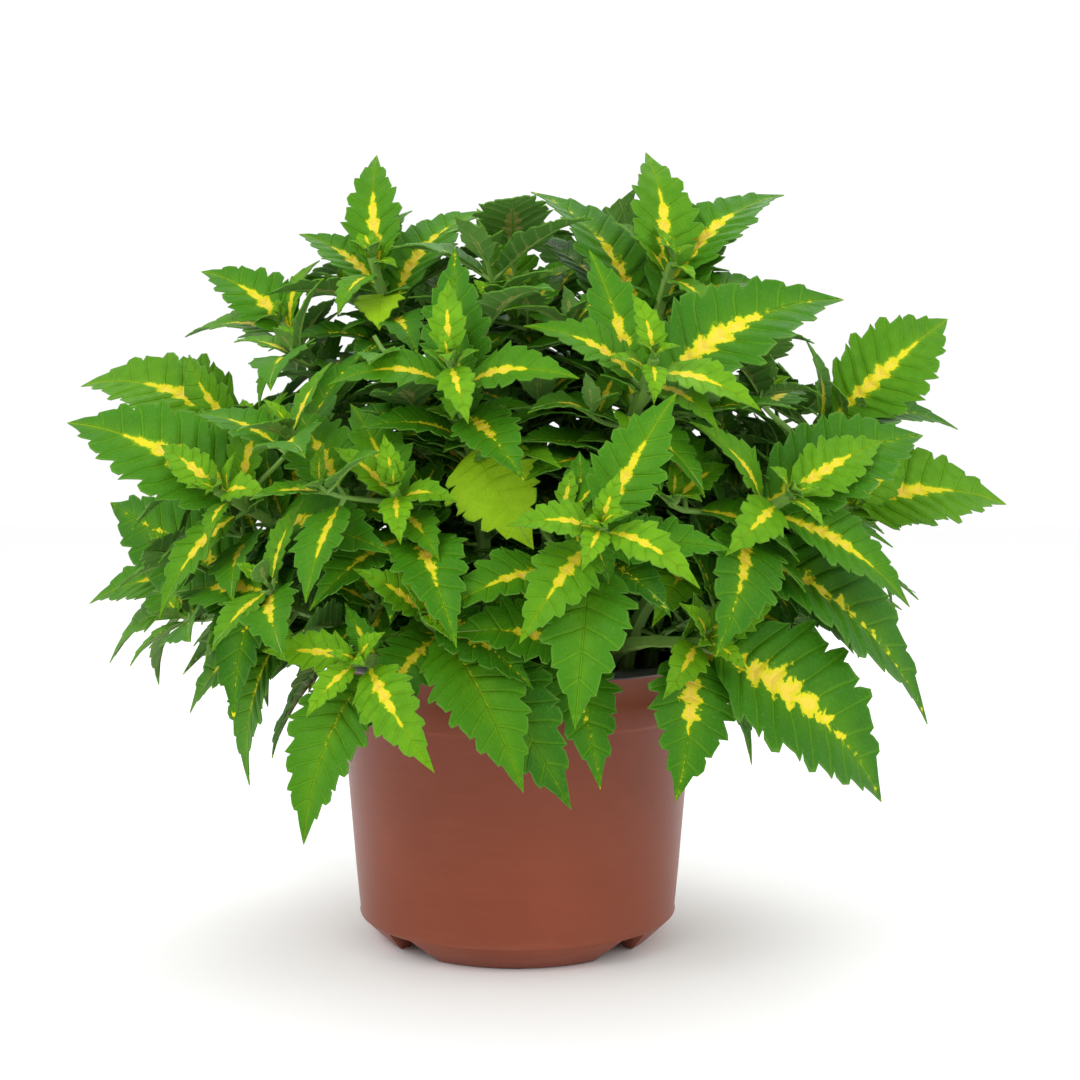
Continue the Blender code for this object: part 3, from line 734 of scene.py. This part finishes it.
def leafMaster(teeth, columns, tooth):
    # One flat leaf: X in half widths, Y from foot to tip, Z the relief of the veins.
    rows = edgeRows(teeth, leaf["teeth"][tooth])
    bpy.ops.mesh.primitive_grid_add(
        x_subdivisions=columns, y_subdivisions=len(rows) - 1, size=1.0, location=(0, 0, 0)
    )
    obj = bpy.context.object
    mesh = obj.data
    veins = mesh.attributes.new("veins", "FLOAT_VECTOR", "POINT")
    mesh.attributes.new("growth", "FLOAT_VECTOR", "POINT")
    stalk = plan["stalkShare"]
    for i, corner in enumerate(mesh.vertices):
        across = round((corner.co.x + 0.5) * columns) / columns * 2.0 - 1.0
        place, share, count = rows[round((corner.co.y + 0.5) * (len(rows) - 1))]
        blade = (place - stalk) / (1 - stalk)
        inner = abs(across)
        half = bladeHalfWidth(blade) if blade < 1.0 else 0.0
        half = max(half, 0.07 if blade < 0.5 else 0.0)
        point = share > 1.05
        width = half * (across + (share - 1.0) * across * inner ** 2)
        lag = leaf["veinLag"] * math.sin(math.pi * blade ** 0.8) * (1.0 - inner)
        ahead = leaf["pointAhead"] * inner ** 3 * point
        bulge = (-1.0 if point else 0.9) * math.sin(math.pi * min(1.0, inner * 1.15)) * half
        sunk = max(0.0, 1.0 - inner * 2.4) * half * leaf["midribSunk"]
        corner.co = (width, place - lag + ahead, bulge * leaf["quilt"] - sunk)
        veins.data[i].vector = (count, inner, 0.0)
    unwrap = mesh.uv_layers.active.data
    for corner in mesh.loops:
        at = mesh.vertices[corner.vertex_index].co
        unwrap[corner.index].uv = (0.5 + at.x * plan["wide"] / 2, at.y)
    editAll()
    bpy.ops.mesh.remove_doubles(threshold=0.00001)
    bpy.ops.object.mode_set(mode="OBJECT")
    return obj


def tubeMaster(sides, rings):
    # A closed straight tube from Z 0 to 1, to be laid along stalks, ribs and stems.
    bpy.ops.mesh.primitive_circle_add(
        vertices=sides, radius=1.0, fill_type="NGON", location=(0, 0, 0)
    )
    editAll()
    for i in range(rings):
        raiseSelected(1.0 / rings)
    closeShape()
    return bpy.context.object


def copyOf(master):
    obj = master.copy()
    obj.data = master.data.copy()
    bpy.context.scene.collection.objects.link(obj)
    return obj


def laid(master, shaper, *given):
    # A copy of a master with its corners where the shaper puts them.
    source, flat = master
    obj = copyOf(source)
    places = shaper(flat, *given) * mm + np.array(potCentre)
    obj.data.vertices.foreach_set("co", places.ravel())
    return obj


def unit(rows):
    return rows / np.linalg.norm(rows, axis=-1, keepdims=True)


def offset(points, side, x, over, y):
    return points + side * x[:, None] + over * y[:, None]


def midrib(one, t):
    # Points on the leaf's arched midrib with the side and the upper direction there.
    base, tip, up = (np.array(one[key]) for key in ("base", "tip", "up"))
    way = tip - base
    length = np.linalg.norm(way)
    ahead = way / length
    up = unit(up - ahead * up.dot(ahead))
    middle = base + way * 0.45 + up * length * one["arch"] * 2.0
    t = np.asarray(t)[:, None]
    s = 1.0 - t
    points = base * s * s + middle * (2 * s * t) + tip * t * t
    along = unit((middle - base) * s + (tip - middle) * t)
    side = unit(np.cross(along, up))
    return points, side, np.cross(side, along), length


def bladeShape(flat, one):
    # Bends the flat leaf onto its midrib, folded along it and wavy at the margin.
    points, side, over, length = midrib(one, flat[:, 1])
    luck = one["chance"]
    reach = length * one["wide"] / 2
    uneven = np.sin(flat[:, 1] * 41.0 + luck * 50.0 + np.sign(flat[:, 0]) * 2.0)
    x = flat[:, 0] * reach * (1.0 + leaf["uneven"] * uneven)
    far = np.abs(x)
    lift = leaf["fold"] * far - leaf["roundness"] * far ** 2 / reach
    lift = lift + flat[:, 2] * length
    wave = np.sin(flat[:, 1] * 17.0 + luck * 20.0 + np.sign(x) * 1.3)
    lift = lift + wave * (far / reach) ** 2 * leaf["wave"] * length
    end = np.clip((flat[:, 1] - 0.62) / 0.38, 0, 1) ** 2
    lift = lift - end * length * leaf["tipDroop"] * luck * (1 - one["exact"])
    turn = (luck - 0.5) * leaf["twist"] * flat[:, 1]
    cos, sin = np.cos(turn)[:, None], np.sin(turn)[:, None]
    sideways = side * cos + over * sin
    upwards = over * cos - side * sin
    return offset(points, sideways, x, upwards, lift)


def ribShape(flat, one):
    # The stalk, and from there the midrib that stands out under the blade.
    t = flat[:, 2] * 0.95
    points, side, over, length = midrib(one, t)
    stalk = plan["stalkShare"]
    thick = leaf["stalkWidth"] / 2 * min(1.0, length / 40.0 + 0.25)
    onStalk = np.clip(t / stalk, 0, 1)
    onBlade = np.clip((t - stalk) / (1 - stalk), 0, 1)
    radius = thick * (1.0 - 0.42 * onStalk) * (1.0 - 0.8 * onBlade)
    drop = radius * 0.95 * onStalk + leaf["midribSunk"] * length * (onBlade > 0)
    return offset(points, side, flat[:, 0] * radius, over, flat[:, 1] * radius - drop)


def along(line, count):
    # Even places on a smooth curve through the points of a line.
    points = [np.array(p) for p in line]
    points = [points[0] * 2 - points[1]] + points + [points[-1] * 2 - points[-2]]
    curve = []
    for i in range(count):
        place = i / (count - 1) * (len(points) - 3)
        k = min(int(place), len(points) - 4)
        u = place - k
        a, b, c, d = points[k:k + 4]
        curve.append(0.5 * (2 * b + (c - a) * u + (2 * a - 5 * b + 4 * c - d) * u * u
                            + (3 * b - a - 3 * c + d) * u ** 3))
    return np.array(curve)


stem = {
    "radius": 2.7,
    "tipRadius": 1.5,
    "branch": 0.72,
    # Sides and rings of every kind of tube.
    "tubes": {"rib": (6, 9), "smallRib": (4, 5), "stem": (12, 30), "twig": (6, 7),
              "hair": (3, 1)},
    "square": 0.13,  # how far the corners stand out
    "nodeSwell": 0.16,
    "nodeReach": 2.6,
    "seed": 23,
    # Small leaves low on the stems, and tufts in the angles above the leaf pairs.
    "smallLeaves": [
        {"down": [30, 43, 57, 72, 90, 110, 132], "lengths": (30, 46), "opened": 1.0,
         "ages": (0.5, 1.0)},
        {"down": [16, 26, 38, 51, 66, 84, 104], "lengths": (13, 25), "opened": 0.75,
         "ages": (0.2, 0.6)},
    ],
    "openings": (48, 88),
    "tries": 6,
    "shrinks": [1.0, 0.85, 0.7, 0.55],
    "outside": 4.0,  # how far beyond the solids a small leaf may reach
    "budPairs": [(11.0, 42.0), (7.0, 22.0)],  # length and opening
    # How high a small leaf stays, inside the rim and in front of the pot.
    "rimRadius": 66.0,
    "aboveSoil": 84.0,
    "aboveFront": 104.0,
    "frontFrom": -45.0,
    # Left, right, rearmost, lowest and highest of what the photo shows uncovered: the
    # pot's black lip and the two lime leaves.
    "keepClear": [
        (18, 44, -30, 0, 124), (-22, 12, -62, 138, 172), (-60, -30, -22, 204, 236),
    ],
    "hairs": 70,  # on each shoot
    "hairReach": 30.0,  # how far down from the growing tip
    "hairLength": (0.7, 1.5),
    "hairWidth": 0.055,
}


def stemShape(flat, line, thick, thin, nodes):
    rings = len(set(np.round(flat[:, 2], 4))) - 1
    centres = along(line, rings + 1)
    ways = unit(np.gradient(centres, axis=0))
    sides = [np.cross(ways[0], [0.3, 1.0, 0.1])]
    for way in ways:
        sides.append(unit(sides[-1] - way * sides[-1].dot(way)))
    sides = np.array(sides[1:])
    overs = np.cross(ways, sides)
    steps = np.rint(flat[:, 2] * rings).astype(int)
    angle = np.arctan2(flat[:, 1], flat[:, 0])
    corner = 1.0 + stem["square"] * np.cos(4 * angle)
    radius = (thick + (thin - thick) * flat[:, 2]) * corner * np.hypot(flat[:, 0], flat[:, 1])
    for node in nodes:
        near = np.linalg.norm(centres - np.array(node), axis=1)[steps]
        radius = radius * (1.0 + stem["nodeSwell"] * np.exp(-(near / stem["nodeReach"]) ** 2))
    return offset(centres[steps], sides[steps], np.cos(angle) * radius,
                  overs[steps], np.sin(angle) * radius)


def hairShape(flat, line, chance):
    # One fine hair standing off the young part of a stem.
    down = chance.uniform(0.0, stem["hairReach"])
    foot = np.array(placeDown(line, down))
    way = np.array(wayAt(line, down))
    out = np.cross(way, unit(np.array([chance.gauss(0, 1) for axis in range(3)])))
    out = unit(unit(out) + way * chance.uniform(-0.1, 0.5))
    side = unit(np.cross(out, way))
    other = np.cross(out, side)
    long = chance.uniform(*stem["hairLength"])
    thick = stem["hairWidth"] * (1.0 - flat[:, 2:3] * 0.9)
    spot = foot + out * (stem["tipRadius"] * 0.85 + flat[:, 2:3] * long)
    return spot + side * flat[:, 0:1] * thick + other * flat[:, 1:2] * thick


def coarseTree(one):
    # A few faces for the blade in a search tree, used only to find room for it.
    rows = (0.22, 0.45, 0.7, 1.0)
    points, side, over, length = midrib(one, rows)
    stalk = plan["stalkShare"]
    half = [bladeHalfWidth((t - stalk) / (1 - stalk)) if t < 1 else 0.05 for t in rows]
    half = np.array(half)[:, None] * length * one["wide"] / 2
    lift = over * (half * leaf["fold"] * 0.7)
    corners = np.concatenate([points - side * half + lift, points, points + side * half + lift])
    faces = [(a + i, a + i + 1, a + i + 5, a + i + 4) for a in (0, 4) for i in range(3)]
    return corners, BVHTree.FromPolygons([tuple(c) for c in corners], faces)


def solidTree():
    # All solids in one search tree, in millimetres from the pot's axis.
    corners = []
    faces = []
    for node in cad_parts.values():
        start = len(corners)
        corners += [(corner.co - potCentre) / mm for corner in node.data.vertices]
        faces += [[start + i for i in face.vertices] for face in node.data.polygons]
    return BVHTree.FromPolygons(corners, faces)


def outOfPlace(corners):
    # Beyond the solids' box, too low, or in front of what stays uncovered.
    low, high = ((np.array(end) - np.array(potCentre)) / mm for end in cadBox)
    x, y, z = corners.T
    if (corners <= low - stem["outside"]).any() or (corners >= high + stem["outside"]).any():
        return True
    if (z < stem["aboveSoil"]).any() and (np.hypot(x, y) < stem["rimRadius"]).any():
        return True
    if (z < stem["aboveFront"]).any() and (y < stem["frontFrom"]).any():
        return True
    return any(
        ((x > left) & (x < right) & (y < front) & (z > lowest) & (z < highest)).any()
        for left, right, front, lowest, highest in stem["keepClear"]
    )


def hasRoom(one, room):
    corners, tree = coarseTree(one)
    if outOfPlace(corners) or tree.overlap(room["solids"]):
        return None
    centre = (one["base"] + one["tip"]) / 2
    reach = (one["tip"] - one["base"]).length * 0.6
    for otherCentre, otherReach, other in room["small"]:
        if (otherCentre - centre).length < reach + otherReach and tree.overlap(other):
            return None
    return centre, reach, tree


def roomyLeaf(base, axis, sides, turn, opening, length, room, chance):
    # The longest leaf that fits near the wanted place, or none.
    for shrink in stem["shrinks"]:
        for attempt in range(stem["tries"]):
            way = opened(axis, sides, turn + chance.uniform(-30, 30),
                         opening + chance.uniform(-22, 22)).normalized()
            one = newLeaf(
                base, base + way * length * shrink, lyingOn(axis, way),
                chance.uniform(1.05, 1.3), chance.uniform(0.3, 0.85), chance=chance.random(),
            )
            found = hasRoom(one, room)
            if found:
                room["small"].append(found)
                return one
    return None


def smallLeaves(line, rule, room, chance):
    # Opposite leaves, each pair turned a quarter, wherever there is room for them.
    leaves = []
    long = sum((b - a).length for a, b in zip(line, line[1:]))
    start = chance.uniform(0, 90)
    for pair, down, turn in opposite(start, rule["down"]):
        if down > long - 12:
            break
        axis = wayAt(line, down)
        base = placeDown(line, down + chance.uniform(-2, 2))
        opening = chance.uniform(*stem["openings"]) * rule["opened"]
        one = roomyLeaf(base, axis, sidesOf(axis, (0.2, 0.1, 1)), turn, opening,
                        chance.uniform(*rule["lengths"]), room, chance)
        if one:
            one["age"] = chance.uniform(*rule["ages"])
            one["streak"] = chance.uniform(0.0, 0.8)
            leaves.append(one)
    return leaves


bush = {
    "seed": 31,
    "most": 165,  # side shoots, each set where the mound is emptiest
    "tries": 240,
    "centre": (2.0, 2.0, 120.0),
    "radii": (126.0, 100.0, 128.0),
    "outwards": 0.42,  # a lower power sets more of them near the surface
    "lowest": 94.0,
    "flare": 0.4,  # how much higher the lowest place is for each millimetre beyond the rim
    "leastSpace": 5.5,
    "spacing": 12.0,
    "risesFrom": 45.0,  # they face away from a point this far under the centre
    "pairs": [(13.0, 32.0, 1.5), (26.0, 58.0, 4.5), (41.0, 80.0, 10.0)],  # length, opening, down
    "thick": 1.2,
    "thin": 0.8,
}


def emptySpots(room, chance):
    # One after another the emptiest of many places in the mound.
    centre = Vector(bush["centre"])
    spots = []
    while len(spots) < bush["most"]:
        best = (0.0, None, 0.0)
        for attempt in range(bush["tries"]):
            way = Vector([chance.gauss(0, 1) for axis in range(3)]).normalized()
            share = chance.random() ** bush["outwards"]
            spot = centre + Vector([r * w for r, w in zip(bush["radii"], way)]) * share
            beyond = max(0.0, math.hypot(spot.x, spot.y) - stem["rimRadius"])
            if spot.z < bush["lowest"] + bush["flare"] * beyond:
                continue
            space = room["solids"].find_nearest(spot)[3]
            if space <= best[0]:
                continue
            for otherSpace, other, otherShare in spots:
                space = min(space, (spot - other).length - bush["spacing"])
            if space > best[0]:
                best = (space, spot, share)
        if best[0] < bush["leastSpace"]:
            break
        spots.append(best)
    return spots


def sideShoots(stems, room):
    # A short twig from the nearest stem to each empty spot, with three pairs of leaves.
    chance = random.Random(bush["seed"])
    shoots = {name: [] for name in stems}
    feet = [(name, Vector(point)) for name, stemPlan in stems.items()
            for line in stemPlan["lines"] for point in along(line, 26)[4:-3]]
    middle = Vector(bush["centre"]) - Vector((0, 0, bush["risesFrom"]))
    for space, spot, share in emptySpots(room, chance):
        name, foot = min(
            feet, key=lambda f: (f[1] - spot).length + max(0.0, f[1].z - spot.z + 8) * 1.5
        )
        facing = ((spot - middle).normalized() + Vector((0, 0, 0.25))).normalized()
        line = stemLine(foot, spot, facing, False)
        sides = sidesOf(facing)
        start = chance.uniform(0, 90)
        leaves = []
        for pair, (length, opening, down), turn in opposite(start, bush["pairs"]):
            one = roomyLeaf(placeDown(line, down), facing, sides, turn, opening,
                            length * chance.uniform(0.9, 1.15), room, chance)
            if one:
                # Painted shade: the deeper in the mound, the older and darker green a leaf is
                # painted and the weaker its streak, on top of the real ageing by pair.
                insideShade = 1.0 - share
                one["age"] = min(1.0, pair * 0.2 + insideShade * 0.6 + chance.uniform(0, 0.2))
                one["streak"] = chance.uniform(0.55, 1.1) * (1.0 - 0.5 * insideShade)
                leaves.append(one)
        if leaves:
            shoots[name].append((line, leaves))
    return shoots


def budLeaves(line, facing, first, chance):
    # The two smallest pairs, still upright round the growing tip.
    leaves = []
    sides = sidesOf(facing)
    for pair, (length, opening), turn in opposite(first, stem["budPairs"]):
        way = opened(facing, sides, turn + chance.uniform(-8, 8),
                     opening + chance.uniform(-6, 6))
        base = placeDown(line, 1.5)
        leaves.append(newLeaf(
            base, base + way * length * chance.uniform(0.9, 1.1),
            lyingOn(facing, way.normalized()), 1.0, 1.2, age=chance.uniform(0.0, 0.15),
            streak=chance.uniform(0.5, 0.9), chance=chance.random(),
        ))
    return leaves


# The ways in which the solids' leaves may be bent to make room, least bent first.
bends = sorted(
    ((s, l, k) for s in plan["swings"] for l in plan["lifts"] for k in plan["kept"]),
    key=lambda bend: abs(bend[0]) + abs(bend[1]) + 70 * (1 - bend[2]),
)


def bentLeaf(one, swing, lift, kept):
    way = (one["tip"] - one["base"]) * kept
    side = way.cross(one["up"]).normalized()
    turn = Matrix.Rotation(math.radians(swing), 3, one["up"])
    rise = Matrix.Rotation(math.radians(lift), 3, side)
    return dict(one, tip=one["base"] + turn @ (rise @ way), up=rise @ one["up"], exact=1)


def solidLeaves(name, stemPlan):
    # Each leaf gets the bend that its solid has, known by where the tip's corner is.
    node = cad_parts[name]
    tree = KDTree(len(node.data.vertices))
    for i, corner in enumerate(node.data.vertices):
        tree.insert(corner.co, i)
    tree.balance()
    found = []
    for one in stemPlan["leaves"]:
        for bend in bends if one["solid"] else []:
            trial = bentLeaf(one, *bend)
            if tree.find(trial["tip"] * mm + potCentre)[2] < 0.06 * mm:
                found.append(trial)
                break
        if not one["solid"]:
            found.append(one)
    return found


# Two broad yellow-green leaves without a streak, by foot, tip, upper side and width.
limeLeaves = {
    "stem_upper_left": ((-16, -50, 176), (6, -72, 140), (-0.2, -0.9, 0.3), 0.66),
    "stem_top_left": ((-30, 0, 236), (-46, -30, 212), (-0.1, -0.8, 0.6), 0.66),
}


def limeLeaf(name, stemPlan):
    foot, tip, up, wide = limeLeaves[name]
    points = [Vector(p) for line in stemPlan["lines"] for p in along(line, 40)]
    base = min(points, key=lambda p: (p - Vector(foot)).length)
    return newLeaf(base, Vector(tip), Vector(up).normalized(), wide / plan["wide"], 0.5,
                   age=-1.0, streak=0.0, chance=0.4)


# Leaves that the photo shows with a colour of their own, by their number on the stem:
# how old they look and how strong the streak is.
specialLeaves = {
    "stem_front_low": {2: (0.8, 1.6), 4: (0.45, 0.10), 5: (0.8, 0.08)},
    "stem_right_low": {4: (0.70, 1.25), 5: (0.75, 1.15)},
    "stem_left_low": {5: (0.45, 0.12), 10: (0.5, 0.25)},
    "stem_front": {6: (0.55, 0.05), 7: (0.5, 0.06)},
    "stem_left_front": {3: (0.3, 1.1), 5: (0.35, 1.2)},
}


def ageLeaf(one, chance, shown):
    # Inner pairs are young and bright, outer ones deep green with a broken streak.
    one["chance"] = chance.random()
    one["age"] = min(1.0, max(0.0, one["pair"] * 0.19 + chance.uniform(-0.1, 0.16)))
    one["streak"] = chance.uniform(0.75, 1.1) if shown else chance.uniform(0.4, 1.0)
    if one["pair"] > 3:
        one["streak"] *= chance.uniform(0.45, 1.05)


def leafyStem(name, stemPlan, shoots, masters, finishes, room, chance):
    grown = solidLeaves(name, stemPlan)
    for i, one in enumerate(grown):
        ageLeaf(one, chance, name in seenShoots)
        if i in specialLeaves.get(name, {}):
            one["age"], one["streak"] = specialLeaves[name][i]
    for line, facing in zip(stemPlan["lines"], stemPlan["facings"]):
        first = 90.0 * (len(grown) % 2) + chance.uniform(-20, 20)
        grown += budLeaves(line, facing, first, chance)
        for rule in stem["smallLeaves"]:
            grown += smallLeaves(line, rule, room, chance)
    if name in limeLeaves:
        grown.append(limeLeaf(name, stemPlan))
    for line, leaves in shoots:
        grown += leaves
    blades = []
    tubes = []
    for one in grown:
        length = (one["tip"] - one["base"]).length
        size = sum(length >= least for least, *form in leaf["sizes"]) - 1
        blade = laid(masters[size], bladeShape, one)
        # What the leaf's colour depends on, at every corner.
        growth = np.tile([one["age"], one["streak"], one["chance"]], len(blade.data.vertices))
        blade.data.attributes["growth"].data.foreach_set("vector", growth)
        blades.append(blade)
        kind = "rib" if length > leaf["ribFrom"] else "smallRib"
        tubes.append(laid(masters[kind], ribShape, one))
    for line, leaves in shoots:
        tubes.append(laid(masters["twig"], stemShape, line, bush["thick"], bush["thin"], []))
    for line in stemPlan["lines"]:
        for i in range(stem["hairs"]):
            tubes.append(laid(masters["hair"], hairShape, line, chance))
    for order, line in enumerate(stemPlan["lines"]):
        share = stem["branch"] if order else 1.0
        nodes = [placeDown(line, down) for down in plan["pairDown"][2:]]
        thick, thin = stem["radius"] * share, stem["tipRadius"] * share
        tubes.append(laid(masters["stem"], stemShape, line, thick, thin, nodes))
    blade = joined("blades", blades)
    giveFinishes(blade, *finishes[:2])
    thick = blade.modifiers.new("thickness", "SOLIDIFY")
    thick.thickness = leaf["thickness"] * mm
    thick.offset = -1.0
    thick.material_offset = 1
    applyAll(blade)
    tube = joined("tubes", tubes)
    giveFinishes(tube, finishes[2])
    obj = joined("leafy_" + name, [blade, tube])
    finished(obj, name, leaf["sharpFrom"])
    print("stem", name, "leaves", len(grown), "faces", len(obj.data.polygons))


colours = {
    "young": (0.143, 0.345, 0.003),
    "mature": (0.042, 0.182, 0.002),
    "old": (0.018, 0.108, 0.003),
    "margin": (0.120, 0.270, 0.035),
    "vein": (0.125, 0.310, 0.006),
    "lime": (0.270, 0.480, 0.006),
    "streak": (0.660, 0.600, 0.014),
    "streakHeart": (0.780, 0.590, 0.060),
    "streakEdge": (0.330, 0.500, 0.002),
    "under": (0.160, 0.335, 0.060),
    "underOld": (0.085, 0.240, 0.036),
    "underVein": (0.260, 0.400, 0.120),
    "underStreak": (0.520, 0.470, 0.160),
    "stemYoung": (0.170, 0.340, 0.050),
    "stemOld": (0.130, 0.120, 0.045),
}

# The streak along the midrib, in shares of the leaf's length.
streakForm = {
    "width": 0.044,
    "sidewards": 0.70,  # how much it runs out along the side veins
    "raggedness": 0.066,
    "brokenness": 0.36,
    "grows": (0.14, 0.34),
    "ends": (0.42, 0.74),
}


def streakMask(age, streak, across, length, ridge, spot):
    # Pale along the midrib, running out along the side veins, broken up in old leaves.
    flame = spot.speckle(58.0, 4.0, 0.7) - 0.5
    sway = spot.speckle(9.0, 2.0, 0.5) - 0.5
    rise = length.between(*streakForm["grows"]) * 0.65 + 0.35
    fall = 1.0 - (length + sway * 0.30).between(*streakForm["ends"])
    spread = 0.58 + ridge * streakForm["sidewards"] + sway * 0.8
    reach = streak * streakForm["width"] * rise * fall * spread
    reach = reach + flame * streakForm["raggedness"] * rise * fall
    blotch = spot.speckle(34.0, 2.0, 0.5)
    broken = (age - 0.5).most(0.0) * (blotch - 0.44) * streakForm["brokenness"]
    edge = reach - across - broken - 0.0025
    shown = streak.between(0.05, 0.2)
    core = edge.between(-0.0015, 0.0022) * shown
    return core, edge.between(-0.014, 0.003) * shown, edge.between(0.010, 0.034)


def leafPattern(place):
    # What both faces of a leaf share: its age, the way across it, the veins and where
    # the margin is, and the three masks of the streak.
    veins = place.node("Attribute", {"attribute_name": "veins"}, {}, 1)
    growth = place.node("Attribute", {"attribute_name": "growth"}, {}, 1)
    unwrap = place.node("UVMap", {"uv_map": "UVMap"}, {})
    age, streak, luck = (growth.part(axis) for axis in range(3))
    across = abs(unwrap.part(0) - 0.5)
    length = unwrap.part(1)
    ridge = 1.0 - abs((veins.part(0) + 0.8).fraction() - 0.5) * 2.0
    spot = place.node("CombineXYZ", {}, {
        0: unwrap.part(0) + luck * 31.0, 1: length + luck * 17.0, 2: luck * 9.0,
    })
    masks = streakMask(age, streak, across, length, ridge, spot)
    return age, across, ridge, veins.part(1), *masks


def upperFinish():
    material, shader, place = newFinish("leaf_upper", Specular_IOR_Level=0.12)
    age, across, ridge, rim, core, halo, heart = leafPattern(place)
    limy = (0.0 - age).between(0.2, 0.8)
    mottle = place.speckle(240.0).between(0.38, 0.66)
    shade = place.speckle(60.0, 2.0, 0.5).between(0.45, 0.7)
    cells = place.speckle(1300.0, 2.0).between(0.5, 0.72)
    veinLine = ridge.between(0.80, 0.97) * (1.0 - rim * 0.45)
    midLine = 1.0 - across.between(0.002, 0.006)
    gold = heart.colours(colours["streak"], colours["streakHeart"])
    colour = coated(
        colours["young"],
        (age.between(0.0, 0.55), colours["mature"]),
        (age.between(0.5, 1.0), colours["old"]),
        ((1.0 - rim.between(0.0, 0.75)) * 0.30, colours["young"]),
        (limy, colours["lime"]),
        (mottle * (1.0 - limy * 0.7) * 0.35, colours["mature"]),
        (shade * age.most(0.0) * 0.5, colours["old"]),
        (cells * 0.26, colours["margin"]),
        (veinLine.most(midLine) * (1.0 - limy) * 0.35, colours["vein"]),
        (rim.between(0.93, 1.0) * 0.5, colours["margin"]),
        (halo * 0.55, colours["streakEdge"]),
        (core, gold),
    )
    sunk = (veinLine * 0.5 + midLine * 0.5) * (1.0 - core * 0.75) * (1.0 - limy * 0.7)
    height = place.speckle(900.0) * 0.35 - sunk
    feed(shader, Base_Color=colour, Roughness=0.50 + mottle * 0.10 - age * 0.05,
         Normal=height.relief(0.9, 0.0008))
    return material


def underFinish():
    material, shader, place = newFinish("leaf_under", Specular_IOR_Level=0.25)
    age, across, ridge, rim, core, halo, heart = leafPattern(place)
    mottle = place.speckle(300.0).between(0.4, 0.65)
    veinLine = ridge.between(0.82, 0.96)
    colour = coated(
        colours["under"], (age, colours["underOld"]), (mottle * 0.3, colours["underOld"]),
        (veinLine * 0.55, colours["underVein"]), (core * 0.8, colours["underStreak"]),
    )
    height = veinLine * 0.8 + place.speckle(1000.0) * 0.3
    feed(shader, Base_Color=colour, Roughness=0.66 + mottle * 0.1,
         Normal=height.relief(0.5, 0.0006))
    return material


def stemFinish():
    material, shader, place = newFinish("stem_skin", Specular_IOR_Level=0.35)
    blotches = place.speckle(120.0, 4.0)
    fibres = place.stretched((9.0, 9.0, 0.9)).speckle(90.0)
    # Woody near the soil, green above the rim.
    woody = 1.0 - (place.part(2) + (blotches - 0.5) * 0.03).between(0.086, 0.118)
    colour = coated(colours["stemYoung"], (woody, colours["stemOld"]),
                    (fibres.between(0.45, 0.7) * 0.4, colours["underVein"]))
    feed(shader, Base_Color=colour, Roughness=0.52 + blotches * 0.14,
         Normal=fibres.relief(0.35, 0.0005))
    return material


def makeFoliage():
    chance = random.Random(stem["seed"])
    masters = {size: leafMaster(*form) for size, (least, *form) in enumerate(leaf["sizes"])}
    masters.update({kind: tubeMaster(*form) for kind, form in stem["tubes"].items()})
    masters = {kind: (obj, cornersOf(obj)) for kind, obj in masters.items()}
    finishes = [upperFinish(), underFinish(), stemFinish()]
    room = {"solids": solidTree(), "small": []}
    stems = planStems()
    for name in limeLeaves:
        one = limeLeaf(name, stems[name])
        room["small"].append(((one["base"] + one["tip"]) / 2, 30.0, coarseTree(one)[1]))
    shoots = sideShoots(stems, room)
    print("side shoots", sum(len(some) for some in shoots.values()))
    for name, stemPlan in stems.items():
        leafyStem(name, stemPlan, shoots[name], masters, finishes, room, chance)
    for source, flat in masters.values():
        bpy.data.objects.remove(source)


studio = {
    "eyeAhead": (0.008, -0.570, 0.1655),  # the camera, from the pot's axis on the ground
    "lookDown": 0.045,
    "lens": 36.0 * 1600.0 / 1080.0,
    "floorTone": 0.96,
    "floorSize": 8.0,
    "skyTone": 1.0,
    "skyStrength": 1.02,
    # Area lights: place, size, power.
    "lights": [
        ((-0.75, -0.95, 1.15), 0.9, 9.0),
        ((0.95, -0.75, 0.95), 0.9, 5.0),
        ((0.1, 0.9, 1.3), 1.0, 6.0),
    ],
    "aimHeight": 0.14,
}


def placed(name, data, place):
    obj = bpy.data.objects.new(name, data)
    bpy.context.scene.collection.objects.link(obj)
    obj.location = place
    return obj


def makeStudio():
    scene = bpy.context.scene
    scene.world = bpy.data.worlds.new("studio")
    scene.world.use_nodes = True
    sky = scene.world.node_tree.nodes["Background"]
    sky.inputs["Color"].default_value = (*[studio["skyTone"]] * 3, 1.0)
    sky.inputs["Strength"].default_value = studio["skyStrength"]
    bpy.ops.mesh.primitive_plane_add(size=studio["floorSize"], location=(0, 0, -0.0003))
    floor = bpy.context.object
    floor.name = "studio_floor"
    material, shader, place = newFinish("studio_floor", Roughness=0.7)
    shader.inputs["Base Color"].default_value = (*[studio["floorTone"]] * 3, 1.0)
    floor.data.materials.append(material)
    aim = potCentre + Vector((0, 0, studio["aimHeight"]))
    for i, (spot, size, power) in enumerate(studio["lights"]):
        lamp = bpy.data.lights.new(f"soft_light_{i}", "AREA")
        lamp.shape = "DISK"
        lamp.size = size
        lamp.energy = power
        holder = placed(lamp.name, lamp, spot)
        holder.rotation_euler = (aim - Vector(spot)).to_track_quat("-Z", "Y").to_euler()
    lens = bpy.data.cameras.new("camera")
    lens.sensor_width = 36.0
    lens.lens = studio["lens"]
    scene.camera = placed("camera", lens, potCentre + Vector(studio["eyeAhead"]))
    scene.camera.rotation_euler = (math.pi / 2 - studio["lookDown"], 0, 0)
    scene.view_settings.view_transform = "Standard"


makePot()
print("pot made")
makeSoil()
print("soil made")
makeFoliage()
print("foliage made")
makeStudio()
print("studio made")

bpy.context.view_layer.update()
